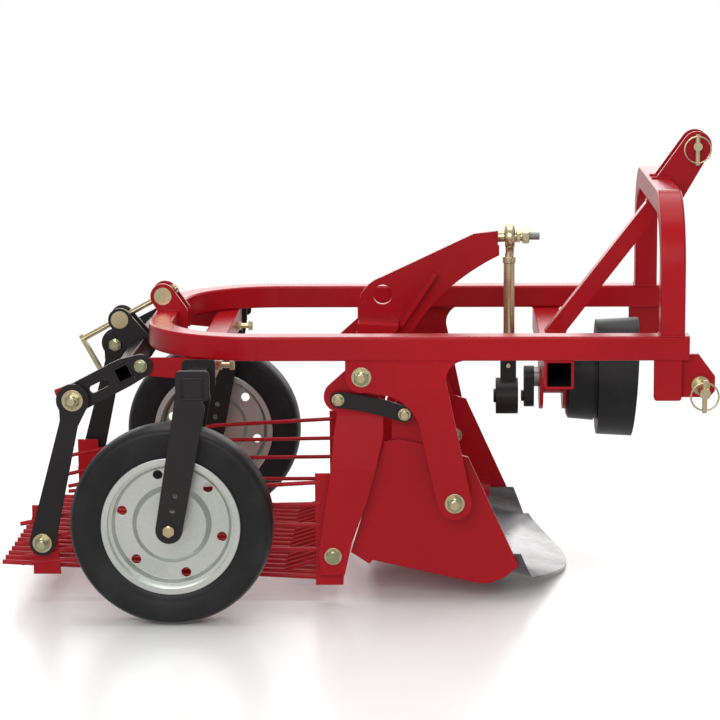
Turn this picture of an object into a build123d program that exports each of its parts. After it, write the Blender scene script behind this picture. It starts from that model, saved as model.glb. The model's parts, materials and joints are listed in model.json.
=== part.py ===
from build123d import *
from math import atan2, cos, degrees, hypot, radians, sin, sqrt, tan
import os

# Rear-mounted potato digger with a shaken share and sieve, carried on a three-point hitch.
# Frame: +X is the direction of travel, +Y the machine's left, +Z up, millimetres.
# The origin is on the ground, under the middle of the machine's length and width.
# Most pairs are drawn on the right (-Y) and mirrored: there "y" counts outwards from the middle.

# ---- driving dimensions: frame ----
tube = 50.0              # side of the main square tube
tube_wall = 4.0
tube_round = 5.0         # corner radius of the main tube
rail_y = 364.0           # middle of each side rail
rail_z = 542.5
rail_front = 675.0
bow_x = -425.0           # middle of the rear cross run of the bow
bow_bend = 220.0         # bend radius on the tube's middle line
arch_x = 640.5
arch_top = 852.0
arch_bend = 125.0
cap = 4.0                # plate that closes an open tube end

# ---- driving dimensions: hitch ----
top_pin_x = 718.0
top_pin_z = 922.0
top_pin_r = 9.5
hitch_gap = 52.0         # between the two top link plates
hitch_plate = 8.0
hitch_plate_r = 31.0
lower_pin_x = 699.0
lower_pin_z = 465.0
lower_pin_r = 11.0
lower_plate = 12.0
bracket_back = 606.0
doubler_front = 660.0
lower_pin_reach = 96.0   # free length outside the shoulder
shoulder = 12.0
linch_wire = 1.8
linch_ring_r = 28.0
linch_pin_r = 5.0
linch_drop = 7.0         # the ring hangs this far below the hitch pin

# ---- driving dimensions: drive ----
cross_tube = 60.0
cross_wall = 6.0
cross_x = 411.0
cross_half = 380.0
shaft_z = 416.0
shaft_r = 17.5
run_gap = 0.05           # radial clearance of a turning fit
carrier_plate = 8.0
carrier_r = 70.0
bearing_r = 36.0
shield_wall = 5.0
cup_r = 90.0             # at the cup's rear
cup_depth = 66.0
bell_r = 125.0           # at the bell's rear
bell_depth = 91.0
shield_flare = 5.0       # how much the cup and the bell each widen to the front
cup_chamfer = 9.0
neck_depth = 4.0         # groove between cup and bell
neck_length = 7.0
mouth_lean = 3.5         # degrees the mouth leans back at its foot
pto_end = 566.0
crank_throw = 42.0
crank_x = 350.0          # rear face of the crank web
crank_web = 22.0
crank_r = 24.0
crank_pin_r = 12.0

# ---- driving dimensions: shaking linkage, joints seen from the side (x, z) ----
rocker = (8.0, 484.0)            # rocker shaft in the hangers
rocker_pin = (-41.0, 432.5)      # drag link to swing arm
share_pin = (95.0, 402.0)        # drag link to share
share_pivot = (198.0, 220.0)     # share in the hangers
sieve_pin = (-54.0, 103.0)       # sieve on the swing arms
link_top = (-586.0, 433.0)       # rear link on the adjusting arm
link_foot = (-656.0, 133.0)      # rear link to sieve
ball = (319.0, 725.0)            # connecting rod on the lever's stud
rod_foot = (316.0, 443.0)        # connecting rod in the big end
pivot_r = 10.0
pin_r = 9.0

# ---- driving dimensions: layers across the machine, right side, inner faces ----
plate = 8.0
upper_share_y = 316.0
share_y = upper_share_y + plate
sieve_y = 339.0
sieve_plate = 6.0
arm_y = 338.0            # swing arm, upper part
arm_set = 14.0           # how far the swing arm's lower part is set outwards
drag_y = 352.0
drag_half = 16.5         # half width of the drag link
drag_rise = 4.0          # how far its middle bows upwards
hanger_y = 376.0
link_y = 358.0
adjust_y = 343.0
seat_gap = 0.3           # between faces that slide on each other
open_pivot_gap = 1.1     # radial play of the drag link on the share's pin

# ---- driving dimensions: share ----
share_slope = 12.0       # degrees the pan climbs to the rear
nose_x = 444.0
shoulder_x = 359.0       # blade front edge at the side plates
sheet = 6.0
trough_r = 2200.0
trough_corner = 60.0
blade_back = 270.0
pan_tail = -4.0
blade_top = 98.0
# round corners of the plate from the share's side up to the drag link, beside the one round the pin
upper_share_corners = ((152.0, 410.0), (186.0, 311.0), (80.0, 311.0))

# ---- driving dimensions: sieve ----
bar_r = 5.0
bar_pitch = 39.0
bar_count = 2 * int((sieve_y - bar_r) / bar_pitch) + 1   # as many as fit between the side plates
bar_front = (-72.0, 46.0)
bar_rear = (-749.0, 80.0)
side_rod_r = 4.5
side_rod_front = -80.0
side_rod_bend = -360.0   # the rods run level to here, then fall to the tail
side_rod_tail = -704.0
finger_r = 4.0
strap = 5.0              # how far the cross straps hang below the bars
finger_top = (-70.0, 84.0)
finger_tip = (-158.0, 57.0)

# ---- driving dimensions: running gear ----
receiver_x = -320.0
receiver_wall = 4.5
set_screw_y = 262.0
set_screw_r = 6.0
set_screw_length = 34.0
slide_gap = 0.25
wheel_x = -372.0
tyre_r = 205.5
track = 980.0
tyre_w = 82.0
rim_r = 139.0
rim_seat_r = 132.0
rim_wall = 4.0
fork_gap = 124.0         # between a fork's two plates
fork_top = 528.0
fork_foot_r = 27.0
fork_head = (68.0, 60.0)  # plate round the stem: fore and aft, height
spare_hole_r = 6.0
spare_holes = (40.0, 71.0)   # up the leg from the axle, for a lower machine
spacer_r = 16.0          # beside the hub
axle_r = 7.0
axle_hex = 22.0          # across flats
hub_r = 22.0
bead_half = 33.0         # half width of the tyre's seat on the rim
rim_flange = 38.0        # half width over the rim's edges
disc_wall = 4.0
disc_out = 20.0          # disc's face near rim and hub, out from the wheel's middle plane
dish_out = 8.0           # face of its pressed ring
dish_r = 80.0            # inner radius of the pressed ring
vent_r = 10.0
vent_circle_r = 104.0
vent_count = 6

# ---- driving dimensions: depth adjuster ----
adjust_tube = 35.0
adjust_tube_wall = 4.0
adjust_tube_at = (-482.0, 487.0)
arm_pivot = (-446.0, 502.0)
trunnion = (-528.0, 547.5)
trunnion_r = 19.0
trunnion_span = 108.0
clevis_gap = 42.0
clevis_lip = 20.0        # reach of the front clevis inside the bow
screw_rise = 28.5        # degrees above level, towards the front
screw_r = 6.0
screw_tail = 92.0
screw_nose = 34.0
crank_arm = 92.0
grip_length = 82.0
grip_stem = 28.0         # bare stem between the crank arm and the grip
grip_stem_r = 5.0
grip_r = 9.0
grip_fall = 20.5         # degrees the grip falls to the rear

# ---- derived ----
rail_bottom = rail_z - tube / 2
rail_top = rail_z + tube / 2
rail_outer = rail_y + tube / 2
rail_inner = rail_y - tube / 2
bow_end = bow_x + bow_bend
arch_mid_z = arch_top - tube / 2
arch_front = arch_x + tube / 2
arch_rear = arch_x - tube / 2
cross_top = rail_bottom
cross_bottom = rail_bottom - cross_tube
cross_front = cross_x + cross_tube / 2
cross_rear = cross_x - cross_tube / 2
wheel_z = tyre_r
screw_u = (cos(radians(screw_rise)), sin(radians(screw_rise)))
front_trunnion = (trunnion[0] + trunnion_span * screw_u[0], trunnion[1] + trunnion_span * screw_u[1])
adjust_turn = degrees(atan2(arm_pivot[1] - link_top[1], arm_pivot[0] - link_top[0]))

os.makedirs("parts", exist_ok=True)


def save(builder, name):
    """Label a finished piece and write it as one STEP file."""
    builder.part.label = name
    export_step(builder.part, f"parts/{name}.step")


def round_step(at, radius, y_from, y_to, mode=Mode.ADD):
    """A round length along the width, right side: from y_from out to y_to."""
    with BuildSketch(Plane.XZ.offset(y_from)) as section:
        with Locations(at):
            Circle(radius)
    extrude(section.sketch, amount=y_to - y_from, mode=mode)


def hex_step(at, across_flats, y_from, y_to):
    """A hexagon bolt head or nut along the width, right side."""
    with BuildSketch(Plane.XZ.offset(y_from)) as section:
        with Locations(at):
            RegularPolygon(across_flats / 2, 6, major_radius=False, rotation=30)
    extrude(section.sketch, amount=y_to - y_from)


def outline(points, y_from, y_to, mode=Mode.ADD):
    """A straight-sided plate standing fore and aft, right side."""
    with BuildSketch(Plane.XZ.offset(y_from)) as section:
        with BuildLine():
            Polyline(*points, close=True)
        make_face()
    extrude(section.sketch, amount=y_to - y_from, mode=mode)


def hull_plate(circles, y_from, y_to, mode=Mode.ADD):
    """A plate wrapped round circles, each ((x, z), radius), right side."""
    with BuildSketch(Plane.XZ.offset(y_from)) as section:
        for at, radius in circles:
            with Locations(at):
                Circle(radius)
        make_hull()
    extrude(section.sketch, amount=y_to - y_from, mode=mode)


def square_tube(side, wall, corner):
    """The section of a square tube, drawn in the current sketch."""
    RectangleRounded(side, side, corner)
    RectangleRounded(side - 2 * wall, side - 2 * wall, max(corner - wall, 1.0), mode=Mode.SUBTRACT)


def linch_pin(at, y_from):
    """A snap pin through a hitch pin's end: upright shank, head, and ring facing outwards."""
    x, z = at[0], at[1] - linch_drop
    shank = 2 * (linch_ring_r + linch_pin_r)
    with BuildSketch(Plane.XY.offset(z - shank / 2)) as section:
        with Locations((x, -y_from)):
            Circle(linch_pin_r)
    extrude(section.sketch, amount=shank)
    ring_y = y_from + linch_pin_r / 2
    with BuildSketch(Plane.YZ.offset(x)) as wire:
        with Locations((-ring_y, z + linch_ring_r)):
            Circle(linch_wire)
    revolve(wire.sketch, axis=Axis((x, -ring_y, z), (0, 1, 0)))


# ================= frame =================

for side, name in ((-1, "rail_right"), (1, "rail_left")):
    with BuildPart() as rail:
        with BuildSketch(Plane.YZ.offset(bow_end)) as section:
            with Locations((side * rail_y, rail_z)):
                square_tube(tube, tube_wall, tube_round)
        extrude(amount=rail_front - bow_end)
        with BuildSketch(Plane.YZ.offset(rail_front - cap)) as end:
            with Locations((side * rail_y, rail_z)):
                RectangleRounded(tube, tube, tube_round)
        extrude(amount=cap)
    save(rail, name)

with BuildPart() as rear_bow:
    with BuildLine(Plane.XY.offset(rail_z)) as bow_line:
        FilletPolyline((bow_end, -rail_y), (bow_x, -rail_y), (bow_x, rail_y), (bow_end, rail_y),
                       radius=bow_bend - 0.01)
    with BuildSketch(Plane(origin=bow_line.line @ 0, x_dir=(0, 1, 0), z_dir=bow_line.line % 0)):
        square_tube(tube, tube_wall, tube_round)
    sweep()
save(rear_bow, "rear_bow")

with BuildPart() as headstock_arch:
    with BuildLine(Plane.YZ.offset(arch_x)) as arch_line:
        FilletPolyline((-rail_y, rail_top), (-rail_y, arch_mid_z), (rail_y, arch_mid_z), (rail_y, rail_top),
                       radius=arch_bend)
    with BuildSketch(Plane(origin=arch_line.line @ 0, x_dir=(1, 0, 0), z_dir=arch_line.line % 0)):
        square_tube(tube, tube_wall, tube_round)
    sweep()
save(headstock_arch, "headstock_arch")

hitch_in = hitch_gap / 2
hitch_out = hitch_in + hitch_plate
with BuildPart() as top_link_plates:
    with BuildSketch(Plane.XZ.offset(hitch_in)) as section:
        with Locations((top_pin_x, top_pin_z)):
            Circle(hitch_plate_r)
        with Locations((arch_rear + 22, arch_top + 4), (arch_front + 22, arch_top - 37)):
            Circle(4)
        make_hull()
        with BuildLine():
            Polyline((arch_rear, arch_top), (arch_front, arch_top), (arch_front, arch_top - tube),
                     (arch_rear, arch_top - tube), close=True)
        make_face(mode=Mode.SUBTRACT)
        with Locations((top_pin_x, top_pin_z)):
            Circle(top_pin_r + 0.2, mode=Mode.SUBTRACT)
    extrude(amount=hitch_plate)
    mirror(about=Plane.XZ)
save(top_link_plates, "top_link_plates")

with BuildPart() as top_link_pin:
    pin_at = (top_pin_x, top_pin_z)
    round_step(pin_at, top_pin_r, -hitch_out - 14, hitch_out + 22)
    round_step(pin_at, top_pin_r + 6, -hitch_out - 14, -hitch_out)
    linch_pin(pin_at, hitch_out + 13)
save(top_link_pin, "top_link_pin")

strut_side = 36.0
strut_foot = 417.0
strut_head = 637.0
strut_lean = atan2(arch_mid_z - tube / 2 - cross_top, strut_head - strut_foot)
strut_half = strut_side / 2 / sin(strut_lean)
with BuildPart() as headstock_strut:
    head_z = arch_mid_z - tube / 2
    outline(((strut_foot - strut_half, cross_top), (strut_foot + strut_half, cross_top),
             (strut_head + strut_half, head_z), (strut_head - strut_half, head_z)),
            -strut_side / 2, strut_side / 2)
save(headstock_strut, "headstock_strut")

lower_mid = rail_y
with BuildPart() as lower_brackets:
    plate_in = lower_mid - lower_plate / 2
    plate_out = lower_mid + lower_plate / 2
    foot_z = lower_pin_z - 26
    nose = lower_pin_x + 30
    outline(((bracket_back, rail_bottom), (rail_front, rail_bottom), (rail_front, rail_bottom + 10.5),
             (lower_pin_x - 4, rail_bottom + 10.5), (nose, lower_pin_z + 17), (nose, lower_pin_z - 13),
             (nose - 11, foot_z), (bracket_back, foot_z)), plate_in, plate_out)
    with BuildSketch(Plane.XZ.offset(plate_out)) as doubler:
        with BuildLine():
            Polyline((bracket_back - 2, rail_bottom), (doubler_front, rail_bottom), (doubler_front, foot_z - 5),
                     (bracket_back - 2, foot_z - 5), close=True)
        make_face()
        fillet(doubler.vertices().group_by(Axis.Y)[0], 6)
    extrude(amount=rail_outer - tube_round - plate_out)
    round_step((lower_pin_x, lower_pin_z), lower_pin_r + 0.2, plate_in, plate_out, Mode.SUBTRACT)
    mirror(about=Plane.XZ)
save(lower_brackets, "lower_brackets")

with BuildPart() as lower_link_pins:
    pin_at = (lower_pin_x, lower_pin_z)
    pin_end = plate_out + shoulder + lower_pin_reach
    round_step(pin_at, lower_pin_r, plate_in - 18, pin_end)
    round_step(pin_at, lower_pin_r + 8, plate_out, plate_out + shoulder)
    hex_step(pin_at, 32, plate_in - 16, plate_in)
    linch_pin(pin_at, pin_end - 12)
    mirror(about=Plane.XZ)
save(lower_link_pins, "lower_link_pins")

# ================= drive =================

with BuildPart() as drive_cross_tube:
    with BuildSketch(Plane.XZ.offset(-cross_half)) as section:
        with Locations((cross_x, cross_top - cross_tube / 2)):
            square_tube(cross_tube, cross_wall, tube_round)
    extrude(amount=2 * cross_half)
save(drive_cross_tube, "drive_cross_tube")

with BuildPart() as bearing_carrier:
    for plate_x in (cross_rear + 2, cross_front - carrier_plate):
        with BuildSketch(Plane.YZ.offset(plate_x)) as section:
            with Locations((0, shaft_z)):
                Circle(carrier_r)
            with BuildLine():
                Polyline((-carrier_r, shaft_z), (carrier_r, shaft_z), (carrier_r - 16, cross_bottom),
                         (16 - carrier_r, cross_bottom), close=True)
            make_face()
            with BuildLine():
                Polyline((-carrier_r, cross_bottom), (carrier_r, cross_bottom), (carrier_r, cross_top),
                         (-carrier_r, cross_top), close=True)
            make_face(mode=Mode.SUBTRACT)
        extrude(amount=carrier_plate)
    with BuildSketch(Plane.YZ.offset(cross_rear + 2)) as section:
        with Locations((0, shaft_z)):
            Circle(bearing_r)
    extrude(amount=cross_tube - 2)
    with BuildSketch(Plane.YZ.offset(cross_rear)) as section:
        with Locations((0, shaft_z)):
            Circle(shaft_r + run_gap)
    extrude(amount=cross_tube, mode=Mode.SUBTRACT)
save(bearing_carrier, "bearing_carrier")

step_x = cross_front + cup_depth
bell_x = step_x + bell_depth
shield_bore = shaft_r + 10.0
cup_mouth_r = cup_r + shield_flare
with BuildPart() as pto_shield:
    with BuildSketch(Plane.XZ) as section:
        with BuildLine():
            Polyline((cross_front, shaft_z + shield_bore), (cross_front, shaft_z + cup_r - cup_chamfer),
                     (cross_front + cup_chamfer / 2, shaft_z + cup_r),
                     (step_x - neck_length, shaft_z + cup_mouth_r),
                     (step_x - neck_length, shaft_z + cup_mouth_r - neck_depth),
                     (step_x, shaft_z + cup_mouth_r - neck_depth), (step_x, shaft_z + bell_r),
                     (bell_x, shaft_z + bell_r + shield_flare),
                     (bell_x, shaft_z + bell_r + shield_flare - shield_wall),
                     (step_x + shield_wall, shaft_z + bell_r - shield_wall),
                     (step_x + shield_wall, shaft_z + cup_mouth_r - neck_depth - shield_wall),
                     (cross_front + shield_wall, shaft_z + cup_r - cup_chamfer - shield_wall),
                     (cross_front + shield_wall, shaft_z + shield_bore), close=True)
        make_face()
    revolve(axis=Axis((0, 0, shaft_z), (1, 0, 0)))
    lean = radians(mouth_lean)
    top_edge = (bell_x, 0, shaft_z + bell_r + shield_flare)
    split(bisect_by=Plane(origin=top_edge, z_dir=(cos(lean), 0, -sin(lean))), keep=Keep.BOTTOM)
save(pto_shield, "pto_shield")

spline_count = 6
with BuildPart() as drive_shaft:
    # columns: from x, to x, radius
    for x_from, x_to, radius in ((crank_x + crank_web, cross_rear + 2 - seat_gap, 21.5),
                                 (cross_rear + 2 - seat_gap, pto_end, shaft_r),
                                 (cross_front + seat_gap, cross_front + 14, shaft_r + 7)):
        with BuildSketch(Plane.YZ.offset(x_from)) as section:
            with Locations((0, shaft_z)):
                Circle(radius)
        extrude(amount=x_to - x_from)
    with BuildSketch(Plane.YZ.offset(cross_front + 40)) as grooves:
        with Locations((0, shaft_z)):
            with PolarLocations(shaft_r, spline_count):
                Rectangle(5, 8)
    extrude(amount=pto_end, mode=Mode.SUBTRACT)
save(drive_shaft, "drive_shaft")

with BuildPart() as crank:
    with BuildSketch(Plane.YZ.offset(crank_x)) as section:
        with Locations((0, shaft_z), (0, shaft_z - crank_throw)):
            Circle(crank_r)
        make_hull()
    extrude(amount=crank_web)
    with BuildSketch(Plane.YZ.offset(crank_x)) as section:
        with Locations((0, shaft_z - crank_throw)):
            Circle(crank_pin_r)
    extrude(amount=-6)
save(crank, "crank")

# ================= hangers and frame bolts =================

hanger_round = 33.0
foot_round = 35.0
with BuildPart() as hangers:
    with BuildSketch(Plane.XZ.offset(hanger_y)) as section:
        with BuildLine():
            left = rocker[0] - hanger_round
            l1 = Line((215, rail_bottom), (left, rail_bottom))
            l2 = Line(l1 @ 1, (left, rocker[1]))
            heel = (rocker[0] + hanger_round * cos(radians(-75)), rocker[1] + hanger_round * sin(radians(-75)))
            a1 = ThreePointArc(l2 @ 1, (rocker[0] - hanger_round * cos(radians(45)),
                                        rocker[1] - hanger_round * sin(radians(45))), heel)
            l3 = Line(a1 @ 1, (48, 447))
            a2 = ThreePointArc(l3 @ 1, (105, 418), (129, 367))
            l4 = Line(a2 @ 1, (share_pivot[0] - foot_round, share_pivot[1] - 4))
            a3 = ThreePointArc(l4 @ 1, (share_pivot[0], share_pivot[1] - foot_round),
                               (share_pivot[0] + foot_round, share_pivot[1] + 4))
            l5 = Line(a3 @ 1, (181, 472))
            ThreePointArc(l5 @ 1, (187, 499), l1 @ 0)
        make_face()
    extrude(amount=plate)
    for at in (rocker, share_pivot):
        round_step(at, pivot_r, hanger_y, hanger_y + plate, Mode.SUBTRACT)
    mirror(about=Plane.XZ)
save(hangers, "hangers")

hanger_out = hanger_y + plate
adjust_out = adjust_y + plate
link_out = link_y + plate
with BuildPart() as frame_bolts:
    # columns: place, shank radius, inner end, face under the washer, washer radius, head across flats
    for at, shank, inner, face, washer, flats in (
            (rocker, pivot_r, arm_y - 8, hanger_out, 20, 30),
            (share_pivot, pivot_r, share_y - 16, hanger_out, 20, 30),
            (link_top, pin_r, adjust_y - 16, link_out + seat_gap, 22, 27),
            (arm_pivot, pin_r - 2, adjust_y - plate - 8, adjust_out, 15, 22)):
        round_step(at, shank, inner, face + 4)
        round_step(at, washer, face, face + 3)
        hex_step(at, flats, face + 3, face + 3 + 0.55 * flats / 2)
    hex_step(link_top, 27, adjust_y - 12, adjust_y)
    hex_step(arm_pivot, 22, adjust_y - plate - 8, adjust_y - plate)
    hex_step(share_pivot, 30, share_y - seat_gap - 12, share_y - seat_gap)
    mirror(about=Plane.XZ)
save(frame_bolts, "frame_bolts")

# ================= running gear =================

receiver_z = rail_bottom - tube / 2
with BuildPart() as receiver_tube:
    with BuildSketch(Plane.XZ.offset(-rail_outer)) as section:
        with Locations((receiver_x, receiver_z)):
            square_tube(tube, receiver_wall, tube_round)
    extrude(amount=2 * rail_outer)
save(receiver_tube, "receiver_tube")

# a set screw with its lock nut on each end of the receiver holds the wheel's stem
with BuildPart() as receiver_screws:
    for set_y in (-set_screw_y, set_screw_y):
        # columns: from x, to x, across flats; the shank has none
        face_x = receiver_x + tube / 2
        for x_from, x_to, flats in ((face_x, face_x + set_screw_length, 0), (face_x, face_x + 8, 19),
                                    (face_x + set_screw_length - 9, face_x + set_screw_length, 19)):
            with BuildSketch(Plane.YZ.offset(x_from)) as section:
                with Locations((set_y, receiver_z - 4)):
                    if flats:
                        RegularPolygon(flats / 2, 6, major_radius=False)
                    else:
                        Circle(set_screw_r)
            extrude(amount=x_to - x_from)
save(receiver_screws, "receiver_screws")

stem_side = tube - 2 * receiver_wall - 2 * slide_gap
fork_in = track / 2 - fork_gap / 2
fork_out = track / 2 + fork_gap / 2
leg = (receiver_x - wheel_x, fork_top - 45 - wheel_z)
leg_length = hypot(*leg)
for side, name in ((0, "wheel_fork_right"), (1, "wheel_fork_left")):
    with BuildPart() as fork:
        for y_in in (fork_in - plate, fork_out):
            with BuildSketch(Plane.XZ.offset(y_in)) as section:
                with Locations((wheel_x, wheel_z)):
                    Circle(fork_foot_r)
                with Locations((receiver_x - 6, fork_top - 78)):
                    Circle(fork_foot_r + 2)
                with Locations((receiver_x - fork_head[0] / 2 + 10, fork_top - fork_head[1] + 10)):
                    Circle(10)
                make_hull()
                with Locations((receiver_x, fork_top - fork_head[1] / 2)):
                    RectangleRounded(*fork_head, 10)
                with Locations((wheel_x, wheel_z)):
                    Circle(axle_r, mode=Mode.SUBTRACT)
                for up in spare_holes:
                    with Locations((wheel_x + leg[0] * up / leg_length, wheel_z + leg[1] * up / leg_length)):
                        Circle(spare_hole_r, mode=Mode.SUBTRACT)
            extrude(amount=plate)
        with BuildSketch(Plane.XZ.offset(rail_outer - 90)) as section:
            with Locations((receiver_x, receiver_z)):
                RectangleRounded(stem_side, stem_side, tube_round - receiver_wall)
        extrude(amount=fork_out - rail_outer + 90)
        if side:
            mirror(about=Plane.XZ, mode=Mode.REPLACE)
    save(fork, name)

hub_half = fork_gap / 2 - 5
with BuildPart() as axle_bolts:
    at = (wheel_x, wheel_z)
    round_step(at, axle_r, fork_in - plate - 18, fork_out + plate + 12)
    hex_step(at, axle_hex, fork_out + plate, fork_out + plate + 9)
    hex_step(at, axle_hex, fork_in - plate - 12, fork_in - plate)
    round_step(at, spacer_r, fork_in, track / 2 - hub_half - seat_gap)
    round_step(at, spacer_r, track / 2 + hub_half + seat_gap, fork_out)
    mirror(about=Plane.XZ)
save(axle_bolts, "axle_bolts")

# tyre section, columns: radius, half width
tyre_section = ((rim_seat_r, bead_half), (rim_r, bead_half), (tyre_r - 24, tyre_w / 2), (tyre_r, tyre_w / 2 - 16))
rim_in = rim_seat_r - rim_wall
# disc section, columns: radius, distance outwards from the wheel's middle plane, front face then back face
disc_section = ((rim_in + 1, disc_out), (rim_in - 7, disc_out - 1), (rim_in - 13, dish_out), (dish_r, dish_out),
                (dish_r - 10, disc_out), (hub_r + 6, disc_out), (hub_r + 2, disc_out + 6),
                (hub_r - 1, disc_out + 6), (hub_r - 1, disc_out + 6 - disc_wall),
                (hub_r + 5, disc_out - disc_wall), (dish_r - 12, disc_out - disc_wall),
                (dish_r - 2, dish_out - disc_wall), (rim_in - 11, dish_out - disc_wall),
                (rim_in - 4, disc_out - 6), (rim_in + 1, disc_out - 5))
for side, word in ((-1, "right"), (1, "left")):
    middle = side * track / 2
    axle_line = Axis((wheel_x, middle, wheel_z), (0, 1, 0))
    with BuildPart() as tyre:
        with BuildSketch(Plane.XY.offset(wheel_z)) as section:
            with BuildLine():
                Polyline(*[(wheel_x + r, middle + half) for r, half in tyre_section],
                         *[(wheel_x + r, middle - half) for r, half in reversed(tyre_section)], close=True)
            make_face()
        revolve(axis=axle_line)
    save(tyre, f"tyre_{word}")

    with BuildPart() as wheel_disc:
        with BuildSketch(Plane.XY.offset(wheel_z)) as section:
            for half_sign in (-1, 1):
                with BuildLine():
                    Polyline((wheel_x + rim_seat_r, middle), (wheel_x + rim_seat_r, middle + half_sign * bead_half),
                             (wheel_x + rim_r, middle + half_sign * bead_half),
                             (wheel_x + rim_r, middle + half_sign * rim_flange),
                             (wheel_x + rim_in, middle + half_sign * rim_flange),
                             (wheel_x + rim_in, middle), close=True)
                make_face()
            with BuildLine():
                Polyline(*[(wheel_x + r, middle + side * out) for r, out in disc_section], close=True)
            make_face()
            with BuildLine():
                Polyline((wheel_x + axle_r + run_gap, middle - hub_half), (wheel_x + hub_r, middle - hub_half),
                         (wheel_x + hub_r, middle + hub_half), (wheel_x + axle_r + run_gap, middle + hub_half),
                         close=True)
            make_face()
        revolve(axis=axle_line)
        with BuildSketch(Plane.XZ.offset(-middle - rim_flange)) as vents:
            with Locations((wheel_x, wheel_z)):
                with PolarLocations(vent_circle_r, vent_count, start_angle=45):
                    Circle(vent_r)
        extrude(amount=2 * rim_flange, mode=Mode.SUBTRACT)
    save(wheel_disc, f"wheel_disc_{word}")

# ================= depth adjuster at the rear =================

with BuildPart() as arm_brackets:
    hull_plate(((arm_pivot, 20), ((receiver_x - tube / 2 - 6, rail_bottom - 6), 6),
                ((receiver_x - tube / 2 - 6, receiver_z - 14), 6)), adjust_y - plate, adjust_y)
    outline(((receiver_x - tube, rail_bottom), (receiver_x - tube / 2, rail_bottom),
             (receiver_x - tube / 2, receiver_z - 20), (receiver_x - tube, receiver_z - 16)),
            adjust_y - plate, adjust_y)
    outline(((arm_pivot[0] - 60, rail_bottom + 20), (receiver_x, rail_bottom + 20), (receiver_x, rail_bottom),
             (arm_pivot[0] - 60, rail_bottom)), adjust_y - plate, adjust_y, Mode.SUBTRACT)
    round_step(arm_pivot, pin_r - 2, adjust_y - plate, adjust_y, Mode.SUBTRACT)
    mirror(about=Plane.XZ)
save(arm_brackets, "arm_brackets")

with BuildPart() as adjusting_arms:
    hull_plate(((link_top, 30), (adjust_tube_at, 30)), adjust_y, adjust_out)
    hull_plate(((adjust_tube_at, 30), (arm_pivot, 24)), adjust_y, adjust_out)
    round_step(link_top, 20, adjust_out, link_y - seat_gap)
    with BuildSketch(Plane.XZ.offset(adjust_y)) as holes:
        with Locations(Location(adjust_tube_at, adjust_turn)):
            Rectangle(adjust_tube + 0.3, adjust_tube + 0.3)
        slot_at = ((link_top[0] * 0.5 + adjust_tube_at[0] * 0.5) + 2, (link_top[1] + adjust_tube_at[1]) / 2)
        with Locations(Location(slot_at, adjust_turn)):
            SlotOverall(44, 16)
        with Locations(arm_pivot):
            Circle(pin_r - 2)
    extrude(amount=plate, mode=Mode.SUBTRACT)
    round_step(link_top, pin_r, adjust_y, link_y, Mode.SUBTRACT)
    mirror(about=Plane.XZ)
save(adjusting_arms, "adjusting_arms")

with BuildPart() as adjuster_tube:
    with BuildSketch(Plane.XZ.offset(-adjust_out - 2)) as section:
        with Locations(Location(adjust_tube_at, adjust_turn)):
            square_tube(adjust_tube, adjust_tube_wall, 3)
    extrude(amount=2 * adjust_out + 4)
save(adjuster_tube, "adjuster_tube")

clevis_in = clevis_gap / 2
clevis_out = clevis_in + plate
with BuildPart() as adjuster_clevis:
    with BuildSketch(Plane.XZ.offset(clevis_in)) as section:
        with Locations(trunnion):
            Circle(25)
        with Locations(adjust_tube_at):
            Circle(29)
        make_hull()
        with Locations(trunnion):
            Circle(trunnion_r + seat_gap / 2, mode=Mode.SUBTRACT)
        with Locations(Location(adjust_tube_at, adjust_turn)):
            RectangleRounded(adjust_tube, adjust_tube, 3, mode=Mode.SUBTRACT)
    extrude(amount=plate)
    mirror(about=Plane.XZ)
save(adjuster_clevis, "adjuster_clevis")

with BuildPart() as bow_clevis:
    with BuildSketch(Plane.XZ.offset(clevis_in)) as section:
        with Locations(front_trunnion):
            Circle(27)
        with Locations((bow_x - tube / 2 + 6, rail_top + 2), (bow_x + tube / 2 + clevis_lip - 2, rail_top + 2)):
            Circle(2)
        make_hull()
        # lip that reaches down inside the bow
        with BuildLine():
            Polyline((bow_x + tube / 2, rail_top), (bow_x + tube / 2 + clevis_lip, rail_top),
                     (bow_x + tube / 2 + clevis_lip, rail_bottom + 8), (bow_x + tube / 2, rail_bottom + 8),
                     close=True)
        make_face()
        with Locations(front_trunnion):
            Circle(trunnion_r + seat_gap / 2, mode=Mode.SUBTRACT)
    extrude(amount=plate)
    mirror(about=Plane.XZ)
save(bow_clevis, "bow_clevis")

with BuildPart() as trunnion_pins:
    for at in (trunnion, front_trunnion):
        with BuildSketch(Plane.XZ.offset(-clevis_out - 1)) as section:
            with Locations(at):
                Circle(trunnion_r)
        extrude(amount=2 * clevis_out + 2)
    with BuildSketch(Plane(origin=(trunnion[0] - 40 * screw_u[0], 0, trunnion[1] - 40 * screw_u[1]),
                           z_dir=(screw_u[0], 0, screw_u[1]))):
        Circle(screw_r + seat_gap / 2)
    extrude(amount=trunnion_span + 80, mode=Mode.SUBTRACT)
save(trunnion_pins, "trunnion_pins")

screw_back = (trunnion[0] - screw_tail * screw_u[0], trunnion[1] - screw_tail * screw_u[1])
screw_plane = Plane(origin=(screw_back[0], 0, screw_back[1]), x_dir=(screw_u[1], 0, -screw_u[0]),
                    z_dir=(screw_u[0], 0, screw_u[1]))
arm_bar = 8.0
with BuildPart() as adjuster_screw:
    with BuildSketch(screw_plane):
        Circle(screw_r)
    extrude(amount=screw_tail + trunnion_span + screw_nose)
    with BuildSketch(screw_plane):
        with Locations((crank_arm / 2, 0)):
            SlotOverall(crank_arm + 20, 20)
    extrude(amount=-arm_bar)
    with BuildSketch(screw_plane.offset(screw_tail + trunnion_span + trunnion_r + 1)):
        RegularPolygon(9.5, 6, major_radius=False)
    extrude(amount=9)
save(adjuster_screw, "adjuster_screw")

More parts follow.
